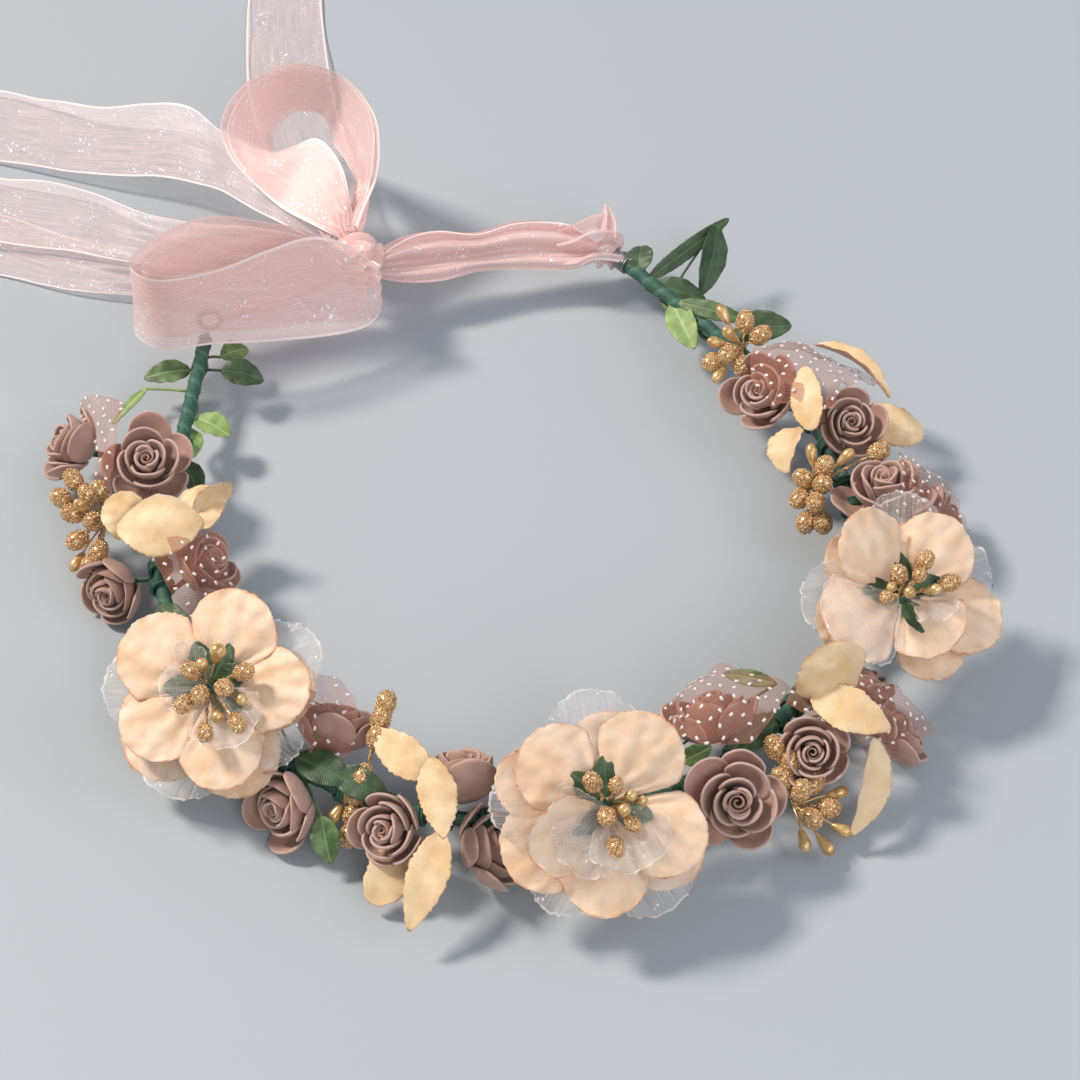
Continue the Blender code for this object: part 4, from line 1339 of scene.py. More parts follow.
@dataclass
class Blossom(Head):
    """A large cloth blossom: leaves, two layers of petals, sheer layers and stamens on one post."""

    upper: tuple[PetalCut, ...]
    lower: tuple[PetalCut, ...]
    sheer_under: tuple[PetalCut, ...]
    sheer_over: tuple[PetalCut, ...]
    pearls: tuple[Pip, ...]
    glitter: tuple[Pip, ...]
    leaves: tuple[float, ...]

    def cloth(self, cuts: tuple[PetalCut, ...], label: str, node: str) -> None:
        """Makes one layer of cloth petals with a collar that holds them.

        Args:
            cuts: The petals.
            label: What the layer is called.
            node: The solid that it replaces.
        """
        shell = Shell()
        for cut in cuts:
            shell.sheet(cut.grid(33, 0.22, self.placed), SATIN_THICK, 0.06)
        height = min(c.height for c in cuts) - 0.25
        disc = circle(16, np.array((1.0, 0.0, 0.0)), np.array((0.0, 1.0, 0.0)))
        collar = ((2.2, height - 0.4), (3.4, height), (2.6, height + 0.4))
        shell.rings(np.array([self.placed(disc * r + UP * h) for r, h in collar]))
        made = shell.build(f"bloom_{self.name}_{label}", SATIN[Cloth.CHAMPAGNE])
        seat(made, Body.CROWN, "cream_satin", node)

    def sheer(self) -> None:
        """Makes the sheer layers under and over the cloth petals."""
        shell, area = Shell(), 0.0
        for cut in self.sheer_under + self.sheer_over:
            area += shell.skin(*cut.grid(29, 0.35, self.placed))
        obj = shell.build(f"bloom_{self.name}_sheer", WHITE_ORGANZA)
        seat(obj, Body.CROWN, "white_organza", f"bloom_{self.name}_organza")

    def foliage(self) -> None:
        """Makes the green leaves that show at the blossom's heart and under its petals."""
        shell = Shell()
        heart = [(polar(turn, 1.2, 1.8), polar(turn, 11.5, 4.6), (6.5, 0.5, 0.1, 0.4)) for turn in self.leaves]
        under = [(polar(a, 1.4, -5.6), polar(a, 15.5, -4.4), (8.0, 0.6, 0.12, 0.3)) for a in (25, 115, 205, 295)]
        facing = tuple(facing_axes(self.facing)[2])
        for first, group in ((0, heart), (9, under)):
            for n, (low, high, shape) in enumerate(group):
                leaf = LeafCut(tuple(self.placed(low)), tuple(self.placed(high)), facing, *shape, seed=first + n)
                leaf.add(shell, 0.35, 0.15)
        made = shell.build(f"bloom_{self.name}_foliage", LEAF[Green.DARK])
        seat(made, Body.CROWN, "leaf_fabric", f"bloom_{self.name}_leaves")

    def stalk(self, shell: Shell, pip: Pip) -> tuple[np.ndarray, np.ndarray]:
        """Adds a stamen's stalk.

        Args:
            shell: The mesh that it joins.
            pip: The stamen.

        Returns:
            Its head's place and lean.
        """
        foot, middle = polar(pip.turn, 0.9, 0.0), polar(pip.turn, 0.42 * pip.out, 0.62 * pip.height)
        spots = [self.placed(p) for p in (foot, middle, polar(pip.turn, pip.out, pip.height))]
        shell.tube(spline(np.array(spots), 6), STALK_RADIUS, 6)
        return spots[2], unit(spots[2] - spots[1])

    def stamens(self) -> None:
        """Makes the smooth stamens on their post, and the beaded ones."""
        pearls, heads = Shell(), Shell()
        for pip in self.pearls:
            head, lean = self.stalk(pearls, pip)
            pearls.bead(head, lean, pip.radius, pip.length, 0.7)
        post = np.array([self.placed(UP * h) for h in (-8.0, -2.0, 2.5)])
        pearls.tube(post, np.array((1.3, 1.3, 1.9)), 12, 1)
        add_stem(pearls, self.phi, self.placed(UP * -7.6), 1, 1.1)
        made = pearls.build(f"bloom_{self.name}_pearls", PEARL, TAPE)
        seat(made, Body.CROWN, "gold_bead", f"bloom_{self.name}_stamens")
        for pip in self.glitter:
            head, lean = self.stalk(heads, pip)
            heads.bead(head, lean, pip.radius * 0.92, pip.length)
        bare = heads.build(f"bloom_{self.name}_glitter", GLITTER)
        seat(BeadCrust(seed=len(self.name)).apply(bare, GLITTER), Body.CROWN, "gold_bead")

    def build(self) -> None:
        """Makes the whole blossom."""
        self.foliage()
        self.cloth(self.lower, "lower", f"bloom_{self.name}_petals_lower")
        self.sheer()
        self.cloth(self.upper, "upper", f"bloom_{self.name}_petals_upper")
        self.stamens()


@dataclass
class LeafSpray(Bunch):
    """Cream leaves or petals that spring from one stem."""

    leaves: tuple[LeafCut, ...]
    petals: tuple[tuple[Row, PetalCut], ...] = ()

    def build(self) -> None:
        """Makes the set and puts it on the crown."""
        shell = Shell()
        for leaf in self.leaves:
            leaf.add(shell, SATIN_THICK, 0.3, 2, 0)
        for facing, cut in self.petals:
            head = Head(self.name, self.phi, self.hub, facing)
            shell.sheet(cut.grid(33, 0.2, head.placed), SATIN_THICK, 0.06, 2, 0)
        self.stem(shell, 1)
        made = shell.build(self.name + "_cloth", SATIN[Cloth.CREAM], TAPE, LINING)
        seat(made, Body.CROWN, "cream_satin", self.name)


@dataclass
class GoldSpray(Bunch):
    """Beaded and smooth gold heads on fine stalks from one stem."""

    beaded: tuple[Row, ...]
    smooth: tuple[Row, ...] = ()
    radius: float = 2.5
    length: float = 6.4

    def build(self) -> None:
        """Makes the beaded heads and the smooth ones."""
        heads, drops = Shell(), Shell()
        self.stem(drops, 1)
        for shell, tips, radius, drop in ((heads, self.beaded, self.radius, 0.0), (drops, self.smooth, 1.8, 0.6)):
            for end in np.array(tips, float):
                self.stalk(shell, end)
                shell.bead(end, unit(end - self.hub), radius, self.length, drop)
        bare = heads.build(self.name + "_beaded", GLITTER)
        seat(BeadCrust(seed=len(self.beaded)).apply(bare, GLITTER), Body.CROWN, "gold_bead", self.name)
        seat(drops.build(self.name + "_smooth", PEARL, TAPE), Body.CROWN, "gold_bead")


@dataclass
class DottedNet(Bunch):
    """Dotted tulle laid over its neighbours and caught at one stem."""

    patches: tuple[tuple[tuple[Row, ...], ...], ...]
    leaves: tuple[LeafCut, ...] = ()
    crumple: float = 1.0
    drawn: float = 0.82

    def build(self) -> None:
        """Makes the net, the dots on it and its stem with small green leaves."""
        shell, area = Shell(), 0.0
        for k, patch in enumerate(self.patches):
            rows = np.array([spline(np.array(row, float), 8) for row in patch])
            grid = np.stack([spline(rows[:, j], 8) for j in range(rows.shape[1])], 1)
            n, m = grid.shape[:2]
            middle = grid.mean(axis=(0, 1))
            grid = middle + (grid - middle) * (self.drawn, self.drawn, 1.0)
            a, b = np.meshgrid(np.linspace(-1, 1, n), np.linspace(-1, 1, m), indexing="ij")
            rim = np.maximum(abs(a), abs(b))
            grid = grid + normals(grid) * (self.crumple * ripple(grid, 8.0, 31 + k) * (0.4 + rim))[..., None]
            long = float(np.linalg.norm(grid[-1, m // 2] - grid[0, m // 2]))
            wide = float(np.linalg.norm(grid[n // 2, -1] - grid[n // 2, 0]))
            area += shell.skin(grid, np.stack((a * long / 2, b * wide / 2), -1), rim)
        net = shell.build(self.name + "_tulle", TULLE)
        dots = FlockDots(seed=len(self.patches) + 3).apply(shell.build(self.name + "_dots", FLOCK), FLOCK)
        seat(net, Body.CROWN, "dotted_net", self.name)
        seat(dots, Body.CROWN, "dotted_net")
        stem = Shell()
        self.stem(stem, 0)
        for leaf in self.leaves:
            stem.tube(spline(np.array((self.hub, leaf.root), float), 4), 0.4, 6, 1)
            leaf.add(stem, LEAF_THICK, 0.1, 1)
        seat(stem.build(self.name + "_stem", TAPE, LEAF[Green.MID]), Body.CROWN, "leaf_fabric")


@dataclass
class Vine:
    """A leafy vine bound under one end of the ring."""

    name: str
    phis: tuple[float, float]
    leaves: tuple[tuple[float, LeafCut, Green], ...]

    def build(self) -> None:
        """Makes the vine's stem and its leaves, one dye at a time."""
        shell = Shell()
        path = []
        for i, phi in enumerate(np.linspace(self.phis[0], self.phis[1], 24)):
            centre, along = band_at(phi)
            side = np.cross(along, UP)
            sway = math.sin(i * 0.7)
            path.append(centre - UP * (3.6 + 0.3 * sway) + side * 1.2 * sway)
        shell.tube(spline(np.array(path), 3), 0.75, 8, 0)
        greens = [Green.MID, Green.DARK, Green.LIGHT]
        for phi, cut, green in self.leaves:
            base, root, slot = band_at(phi)[0], np.array(cut.root, float), greens.index(green)
            stalk = np.array((base - UP * 3.2, (base + root) / 2 - UP * 1.2, root))
            shell.tube(spline(stalk, 5), 0.42, 6, slot)
            cut.add(shell, LEAF_THICK, 0.1, slot)
        made = shell.build(self.name + "_leaves", *(LEAF[g] for g in greens))
        seat(made, Body.CROWN, "leaf_fabric", self.name)


# ---------------- the bow


@dataclass
class RibbonRun:
    """One run of organza ribbon between two rails, pleated where they draw together."""

    rails: Rails
    pleats: int = 3
    steps: int = 10
    across: int = 25
    seed: int = 1
    shift: Row = (0.0, 0.0, 0.0)
    wave: float = 0.5
    gather: float = 23.5

    def add(self, shell: Shell) -> float:
        """Adds the run to a mesh.

        Args:
            shell: The mesh.

        Returns:
            Its area in square millimetres.
        """
        left = spline(np.array([a for a, _ in self.rails], float), self.steps) + np.array(self.shift)
        right = spline(np.array([b for _, b in self.rails], float), self.steps) + np.array(self.shift)
        t = np.linspace(0, 1, self.across)
        grid = left[:, None] * (1 - t[None, :, None]) + right[:, None] * t[None, :, None]
        width = np.linalg.norm(right - left, axis=1)
        # The cloth that the rails leave over goes into pleats, where they are close together.
        spare = np.sqrt(np.maximum(RIBBON_WIDTH**2 - width**2, 0))
        depth = np.minimum(spare / (4 * self.pleats), 0.3 * width + 0.3)
        depth = depth * np.clip((self.gather - width) / 8, 0.0, 1)
        pleat = np.sin(2 * math.pi * self.pleats * t[None, :] + 0.6 * self.seed) * depth[:, None]
        soft = self.wave * ripple(grid, 30.0, self.seed) + 0.12 * ripple(grid, 9.0, self.seed + 3)
        grid = grid + normals(grid) * (pleat + soft)[..., None]
        step = np.linalg.norm(np.diff((left + right) / 2, axis=0), axis=1)
        down = np.concatenate(([0.0], np.cumsum(step)))
        uv = np.stack(np.broadcast_arrays(t[None, :] * RIBBON_WIDTH, down[:, None]), -1)
        rim = np.broadcast_to(abs(2 * t - 1)[None, :], grid.shape[:2])
        return shell.skin(grid, uv, rim)


def shrunk(rails: Rails, about: Row, share: Row, drop: float) -> Rails:
    """Draws rails towards a point, for the inner layer of a doubled ribbon.

    Args:
        rails: The outer layer's rails.
        about: The point.
        share: How much of the distance stays, along x, y and z.
        drop: How far they are let down.

    Returns:
        The inner layer's rails.
    """
    c, k = np.array(about), np.array(share)
    return tuple(tuple(tuple(c + (np.array(p) - c) * k - UP * drop) for p in pair) for pair in rails)


LEFT_LOOP = (
    ((-22, 101, 20), (-21, 99, 26)), ((-33, 103, 19), (-33, 99, 38)), ((-46, 106, 19), (-45, 104, 40.5)),
    ((-60, 108, 19), (-59, 108, 42)), ((-74, 104, 19), (-73, 106, 41)), ((-84, 94, 18), (-82.5, 97, 40.5)),
    ((-78, 83, 19.5), (-76.5, 89, 40.5)), ((-63, 81, 19.6), (-60, 88.5, 40.5)),
    ((-46, 79.5, 18), (-46, 92, 41)), ((-32, 80, 16), (-33, 95.5, 40)), ((-21, 82, 15), (-23, 93, 37)),
    ((-15.5, 87, 16), (-15.5, 90, 30)), ((-17, 94, 18.5), (-16.5, 96, 26)),
    ((-20, 99, 20.5), (-20, 99.5, 24.5)),
)

BACK_LOOP = (
    ((-17, 109, 27), (-20, 108, 22)), ((-10, 119, 32), (-13.1, 127.7, 23.4)),
    ((-6, 129, 38), (-13.1, 141.5, 21.8)), ((-6, 140, 42), (-14.5, 151, 20.7)),
    ((-12, 154, 44), (-16.2, 163.2, 21.2)), ((-25, 162, 44), (-24.2, 168.2, 20.2)),
    ((-39, 163, 38), (-31.5, 164, 17.7)), ((-47, 158, 30), (-33.1, 156.5, 17.8)),
    ((-47, 150, 25), (-33, 150.7, 21.4)), ((-43, 142, 22), (-28, 147, 26)),
    ((-36, 131, 19), (-21, 145, 29)), ((-29, 121, 20), (-17, 134, 29)), ((-24, 113, 22), (-17, 120, 28)),
    ((-21, 108, 23), (-19, 109, 27)),
)

STRAND_RIGHT = (
    ((-17, 99, 18), (-15, 102, 22)), ((-8, 98, 14), (-5, 107, 22)), ((3, 97, 12.5), (5, 109, 20.5)),
    ((15, 99, 12), (16, 106.5, 19.5)), ((28, 97.5, 11), (28, 107, 20.5)),
    ((40, 94.5, 10.5), (41, 105.5, 18.5)), ((46, 95, 11), (47, 101.5, 16)),
    ((50, 96.2, 12), (50, 98.8, 14.4)),
)

STRAND_LEFT = (
    ((-60, 97.5, 12.5), (-60, 96.5, 14)), ((-52, 99, 12), (-52, 97.5, 17)),
    ((-42, 101, 12), (-42, 98, 18.5)), ((-32, 102, 14), (-32, 99, 20)), ((-23, 102, 17), (-23, 100, 21)),
)

EYE_WRAP = (
    ((40, 104, 17), (39, 96, 10)), ((44, 103, 19), (44, 93, 12)), ((50, 104, 20), (48, 91, 15)),
    ((54, 104.5, 18), (56, 90, 12.5)), ((53, 102, 12), (57, 92, 8.5)), ((49, 100, 8.5), (55, 95, 7.5)),
    ((46, 100, 11), (52, 98, 12)),
)
WRAP_TIP = (
    ((50, 99, 17), (56, 97, 16)), ((52, 103, 20), (56.5, 101.5, 18.5)),
    ((54.2, 106.6, 21.5), (55, 106, 21)),
)

TAIL_RUNS = {
    "tail_back": (
        ((-21, 111, 20), (-17, 112, 20)),
        ((-26, 128, 12), (-13, 129, 12)),
        ((-32, 150, 8), (-9, 151, 7)),
        ((-34, 175, 5), (-9, 175, 4)),
        ((-33, 202, 2.2), (-7.5, 202, 2.2)),
        ((-27, 235, 0.9), (-2.5, 240, 0.9)),
        ((-21, 258, 0.7), (3, 263, 0.7)),
    ),
    "tail_left_upper": (
        ((-22, 110, 20), (-25, 114, 20)),
        ((-29, 118, 17), (-29, 136, 19)),
        ((-39, 131, 15), (-38, 154, 20)),
        ((-46, 141, 14), (-46, 168, 17)),
        ((-51, 149, 12), (-53, 184, 14)),
        ((-62, 160, 9), (-64, 194, 9)),
        ((-84, 172, 5), (-80, 200, 6)),
        ((-111, 188, 1.8), (-106, 218, 1.8)),
        ((-133, 200, 0.8), (-128, 226, 0.8)),
    ),
    "tail_left_middle": (
        ((-25, 108, 18), (-26, 113, 19)),
        ((-38, 112, 12), (-38, 126, 14)),
        ((-54, 118, 9), (-56, 137, 11)),
        ((-75, 129, 6), (-72, 148, 8.5)),
        ((-97, 143, 3.6), (-89, 167, 5)),
        ((-116, 152, 2.8), (-112, 180, 2.8)),
        ((-136, 163, 2.4), (-130, 190, 2.4)),
    ),
    "tail_left_lower": (
        ((-25, 106, 16), (-26, 110, 17)),
        ((-40, 106, 8), (-40, 116, 9)),
        ((-60, 112, 5), (-60, 127, 6)),
        ((-80, 121, 3), (-78, 138, 4)),
        ((-98, 129, 1.6), (-96, 151, 2)),
        ((-117, 141, 1.0), (-112, 165, 1.0)),
        ((-136, 150, 0.8), (-128, 174, 0.8)),
    ),
}


@dataclass
class OrganzaBow:
    """The bow: a knot, two doubled loops, two strands from the eyes and four tails."""

    knot_centre: Row = (-19.0, 103.0, 21.5)
    knot_facing: Row = (0.35, -0.55, 0.75)
    knot_radius: float = 4.7
    knot_half: float = 8.4
    band_radius: float = 5.0

    def ribbon(self, piece: str, finish: Finish, hold: Hold, rests_on: str, *runs: RibbonRun) -> Object:
        """Makes one piece of ribbon.

        Args:
            piece: The piece's name.
            finish: What it is made of.
            hold: How it is held; not used.
            rests_on: What it rests on; not used.
            *runs: The runs of ribbon in it.

        Returns:
            The piece.
        """
        shell = Shell()
        area = sum(run.add(shell) for run in runs)
        obj = shell.build(piece, finish)
        return obj

    def loop(self, name: str, rails: Rails, inner: Rails, seed: int) -> None:
        """Makes a loop of doubled ribbon.

        Args:
            name: The solid that it replaces.
            rails: The outer layer's edges.
            inner: The inner layer's edges.
            seed: Picks its ripples.
        """
        runs = RibbonRun(rails, seed=seed, gather=15.0), RibbonRun(inner, seed=seed + 1, wave=0.8, gather=15.0)
        obj = self.ribbon(name + "_organza", PINK_ORGANZA, Hold.GATHERED, "bow_knot_organza", *runs)
        seat(obj, Body.BOW, "pink_organza", name)

    def strand(self, name: str, rails: Rails, seed: int) -> None:
        """Makes a doubled strand from an eye to the knot.

        Args:
            name: The solid that it replaces.
            rails: Its edges.
            seed: Picks its ripples.
        """
        lower = RibbonRun(rails, pleats=3, seed=seed + 4, shift=(0.6, 0.3, -1.0))
        runs = RibbonRun(rails, pleats=2, seed=seed), lower
        obj = self.ribbon(name + "_organza", PINK_ORGANZA, Hold.GATHERED, "bow_knot_organza", *runs)
        seat(obj, Body.BOW, "pink_organza", name)

    def knot(self) -> None:
        """Makes the knot: a pleated band wound over the tight folds of the gathered ribbons."""
        shell = Shell()
        axes, centre = facing_axes(self.knot_facing), np.array(self.knot_centre)
        a = np.arange(48) * 2 * math.pi / 48
        rings = []
        for t in np.linspace(-1, 1, 21):
            out = self.knot_radius * math.sqrt(max(1 - 0.86 * t * t, 0.02))
            lobes = 1 + 0.10 * np.cos(7 * (a + 1.1 * t)) + 0.05 * np.cos(13 * (a - 0.7 * t))
            long = np.full(48, self.knot_half * t)
            flat = np.stack((out * lobes * np.cos(a), 0.86 * out * lobes * np.sin(a), long), -1)
            rings.append(flat @ axes + centre)
        shell.rings(np.array(rings))
        seat(shell.build("bow_knot_folds", DENSE_ORGANZA), Body.BOW, "pink_organza")
        rails = []
        for k in range(13):
            # Each turn of the band lies a little outside the one before it.
            ring = polar(-60 + 35 * k, self.band_radius + 0.06 * k, 0.0) * (1.0, 0.9, 1.0)
            low, high = ring - UP * (4.6 - 0.12 * k), ring + UP * (4.0 + 0.08 * k)
            rails.append((tuple(low @ axes + centre), tuple(high @ axes + centre)))
        band = RibbonRun(tuple(rails), pleats=3, seed=51, wave=0.15)
        obj = self.ribbon("bow_knot_organza", DENSE_ORGANZA, Hold.FOLDED, "bow_knot_folds", band)
        seat(obj, Body.BOW, "pink_organza", "bow_knot")

    def wrap(self) -> None:
        """Makes the ribbon wound over the right eye, with the corner that stands up from it."""
        runs = RibbonRun(EYE_WRAP, pleats=2, seed=41, wave=0.3), RibbonRun(WRAP_TIP, pleats=2, seed=43, wave=0.1)
        obj = self.ribbon("eye_wrap_organza", PINK_ORGANZA, Hold.FOLDED, "wire_core", *runs)
        seat(obj, Body.BOW, "pink_organza")

    def tails(self) -> None:
        """Makes the four ends, which lie on the table."""
        for n, (name, rails) in enumerate(TAIL_RUNS.items()):
            run = RibbonRun(rails, pleats=3, seed=60 + n, wave=0.9, steps=14)
            obj = self.ribbon(name + "_organza", TAIL_ORGANZA, Hold.LAID, "bow_knot_organza", run)
            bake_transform(obj)
            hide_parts(name)
            LOG.info("%s: %d faces between bow and crown", obj.name, len(obj.data.polygons))

    def build(self) -> None:
        """Makes the whole bow."""
        self.knot()
        self.loop("bow_loop_left", LEFT_LOOP, shrunk(LEFT_LOOP, (-54, 96, 30), (0.9, 0.62, 0.95), 1.6), 11)
        self.loop("bow_loop_back", BACK_LOOP, shrunk(BACK_LOOP, (-25, 142, 28), (0.94, 0.95, 0.95), 0.4), 21)
        self.strand("strand_right", STRAND_RIGHT, 31)
        self.strand("strand_left", STRAND_LEFT, 35)
        self.wrap()
        self.tails()


# ---------------- what is on this crown

ROSES = (
    FoamRose("rose_a1", -118.0, (-89, 41, 21), (-0.05, -0.35, 0.9), 1.0, 0.8, 11),
    FoamRose("rose_a2", -121.0, (-107, 56, 16), (-0.75, 0.3, 0.5), 0.92, 0.4, 12, 0.78),
    FoamRose("rose_a3", -97.0, (-104, 11, 8.6), (-0.64, -0.70, 0.3), 0.86, 0.1, 13),
    FoamRose("rose_a4", -93.0, (-80, 7, 15), (0.6, -0.1, 0.65), 0.84, 0.5, 14, 0.8),
    FoamRose("rose_b1", -47.0, (-73.5, -69, 9), (-0.80, -0.40, 0.36), 0.92, 0.15, 15),
    FoamRose("rose_b2", -50.0, (-58, -53, 15), (0.35, 0.5, 0.6), 1.0, 0.2, 16, 0.8),
    FoamRose("rose_c1", -32.0, (-51, -87, 16), (-0.55, -0.45, 0.7), 0.84, 0.3, 17),
    FoamRose("rose_c2", -23.0, (-31, -76, 16), (0.2, 0.6, 0.62), 1.08, 0.25, 18, 0.78),
    FoamRose("rose_c3", -17.0, (-28, -94, 10), (0.75, -0.25, 0.5), 0.98, 0.4, 19, 0.78),
    FoamRose("rose_d1", 19.0, (33, -101, 19), (-0.14, -0.66, 0.74), 1.03, 0.9, 20, 0.9, 0.95),
    FoamRose("rose_d2", 24.0, (35, -74, 16), (0.0, 0.65, 0.65), 1.06, 0.25, 21, 0.8),
    FoamRose("rose_e1", 34.0, (56, -90, 17), (-0.2, -0.6, 0.75), 0.82, 0.3, 22),
    FoamRose("rose_e2", 44.5, (75, -70, 13), (0.5, 0.5, 0.6), 0.78, 0.25, 23, 0.8),
    FoamRose("rose_e3", 41.0, (81, -85, 8.4), (0.85, 0.1, 0.4), 0.76, 0.45, 24),
    FoamRose("rose_f1", 82.0, (99, -15, 20), (-0.05, 0.2, 0.9), 1.04, 0.8, 25, 0.8, 0.7),
    FoamRose("rose_f2", 77.0, (114, -19, 8.6), (0.85, 0.1, 0.3), 0.84, 0.45, 26, 0.78),
    FoamRose("rose_g1", 108.0, (78, 27, 19), (-0.55, -0.2, 0.8), 0.9, 0.5, 27),
    FoamRose("rose_g2", 96.0, (97, 10, 20), (0.0, -0.5, 0.85), 0.8, 0.35, 28),
)

BLOSSOMS = (
    Blossom(
        "left", -66.0, (-86, -42, 27), (-0.25, -0.35, 0.87),
        (
            PetalCut(86, 24, 24, 10, crease=1.1, dome=1.8, seed=1),
            PetalCut(168, 24.5, 24, 6, crease=0.7, dome=1.6, seed=2),
            PetalCut(-128, 24, 22.5, 4, height=0.4, crease=0.9, seed=3),
            PetalCut(-60, 25, 22.5, 2, height=0.2, crease=1.0, dome=1.4, seed=4),
            PetalCut(14, 25, 22, 8, crease=1.3, dome=1.6, seed=5),
        ),
        (
            PetalCut(-120, 26.5, 25, -3, height=-3.0, seed=6),
            PetalCut(-52, 26.5, 24, -4, height=-3.2, seed=7),
            PetalCut(20, 24, 22, -2, height=-3.0, seed=8), PetalCut(95, 23, 22, -1, height=-3.0, seed=9),
            PetalCut(170, 22, 22, -2, height=-3.0, seed=10),
        ),
        (
            PetalCut(195, 27.5, 26, -2, height=-1.6, curl=1.6, crease=0.6, seed=11),
            PetalCut(-95, 27.5, 26, -4, height=-1.8, curl=1.8, crease=0.6, seed=12),
            PetalCut(40, 27.5, 22, 1, height=-1.0, curl=1.5, crease=0.6, seed=13),
            PetalCut(-20, 26, 20, -2, height=-1.4, curl=1.5, crease=0.6, seed=14),
        ),
        (
            PetalCut(133, 12, 12, 36, height=2.4, roll=48, curl=1.5, crease=0.8, seed=15),
            PetalCut(-38, 18, 20, 16, height=2.8, curl=1.2, crease=1.2, fold=0.3, seed=16),
            PetalCut(-158, 11, 13, 16, height=2.8, curl=1.4, crease=0.8, seed=17),
        ),
        (
            Pip(79, 7.3, 10), Pip(110, 3.6, 9.5, 1.8, 4.4), Pip(-8, 10.6, 8.5, 1.7, 4.4),
            Pip(-48, 9.4, 8, 1.8, 4.4),
        ),
        (
            Pip(28, 10.6, 9.5), Pip(-2, 6.0, 9.6), Pip(-80, 3.6, 9.2), Pip(-110, 7.4, 8.4),
            Pip(-32, 13.6, 7.4), Pip(-68, 13.0, 7.6, 2.0, 5.0), Pip(160, 4.0, 9.0),
        ),
        (-158, 126, 38, -20, 80),
    ),
    Blossom(
        "front", 0.0, (0, -100, 27), (0.0, -0.5, 0.87),
        (
            PetalCut(134, 24, 23, 12, crease=0.8, dome=1.7, seed=21),
            PetalCut(45, 24, 23, 18, crease=0.7, dome=1.8, bend=2.0, seed=22),
            PetalCut(-40, 25, 22.5, 10, crease=1.2, dome=1.4, seed=23),
            PetalCut(-104, 26, 23, 4, height=0.4, crease=1.0, dome=2.0, seed=24),
            PetalCut(-161, 23, 22, 18, crease=0.8, dome=1.0, fold=0.4, roll=34, seed=25),
        ),
        (
            PetalCut(-157, 27, 25, 0, height=-3.0, crease=0.9, seed=26),
            PetalCut(152, 26, 20, 1, height=-3.0, seed=27),
            PetalCut(-46, 26.5, 23, -2, height=-3.0, seed=28),
            PetalCut(70, 22, 22, 2, height=-3.0, seed=29),
            PetalCut(-100, 23, 22, -4, height=-3.0, seed=30),
        ),
        (
            PetalCut(88, 27, 25, 8, height=-1.0, curl=1.8, crease=0.7, seed=31),
            PetalCut(-68, 28.5, 26, -3, height=-1.8, curl=1.8, crease=0.6, seed=32),
            PetalCut(168, 27, 22, 4, height=-1.4, curl=1.5, crease=0.6, seed=33),
            PetalCut(-130, 27.5, 22, -3, height=-1.8, curl=1.4, crease=0.6, seed=34),
        ),
        (
            PetalCut(-170, 16, 17, 24, height=3.0, curl=1.6, crease=0.8, fold=0.2, seed=35),
            PetalCut(-75, 18, 22, 22, height=3.2, curl=2.4, crease=1.3, fold=0.28, seed=36),
            PetalCut(-128, 19, 18, 18, height=3.2, curl=1.8, crease=1.0, seed=39),
        ),
        (Pip(2, 4.6, 10, 1.7, 4.2), Pip(-48, 3.6, 9.6, 1.9, 4.0), Pip(-12, 7.2, 9, 1.5, 3.8)),
        (
            Pip(123, 6.2, 9), Pip(62, 3.8, 10.4, 1.9, 4.4), Pip(-117, 3.9, 9.0),
            Pip(-58, 7.6, 8.6, 1.9, 4.6), Pip(-95, 11.2, 7.6),
        ),
        (-169, -150, 83, -30, 130),
    ),
    Blossom(
        "right", 58.0, (89, -56, 27), (0.22, -0.36, 0.9),
        (
            PetalCut(92, 24, 22, 22, crease=0.8, dome=1.6, seed=41),
            PetalCut(170, 24.5, 25, 8, crease=0.6, dome=2.0, seed=42),
            PetalCut(12, 24, 22, 14, crease=0.7, dome=1.6, seed=43),
            PetalCut(-52, 27, 22, 2, height=0.2, crease=1.1, seed=44),
            PetalCut(-98, 17, 23, 24, crease=1.0, fold=0.1, roll=-10, bend=-3.0, seed=45),
        ),
        (
            PetalCut(-92, 22, 22, 2, height=-3.0, crease=1.0, seed=46),
            PetalCut(-48, 27, 22, -5, height=-3.2, crease=0.8, seed=47),
            PetalCut(20, 22, 22, 0, height=-3.0, seed=48), PetalCut(95, 21, 21, 2, height=-3.0, seed=49),
            PetalCut(168, 22, 22, -2, height=-3.0, seed=50),
        ),
        (
            PetalCut(42, 27.5, 24, 10, height=-1.0, curl=1.8, crease=0.6, seed=51),
            PetalCut(-16, 27.5, 20, 4, height=-1.4, curl=1.6, crease=0.6, seed=52),
            PetalCut(150, 27, 24, 6, height=-1.2, curl=1.4, crease=0.6, seed=53),
        ),
        (
            PetalCut(172, 26, 27, 11, height=2.6, curl=0.8, crease=0.6, dome=2.4, seed=54),
            PetalCut(-72, 13, 16, 34, height=2.6, curl=1.6, crease=0.9, roll=24, seed=55),
        ),
        (Pip(150, 6.4, 10, 1.5, 4.2), Pip(-170, 2.6, 9.6, 1.8, 4.4), Pip(-45, 5.2, 8.6, 1.7, 5.8)),
        (
            Pip(165, 8.6, 9.4, 1.7, 4.8), Pip(110, 5.0, 10.2), Pip(20, 3.4, 9.6, 1.9, 4.2),
            Pip(22, 8.0, 9.0), Pip(-28, 11.0, 7.4),
        ),
        (140, 100, -110, -20, 60),
    ),
)

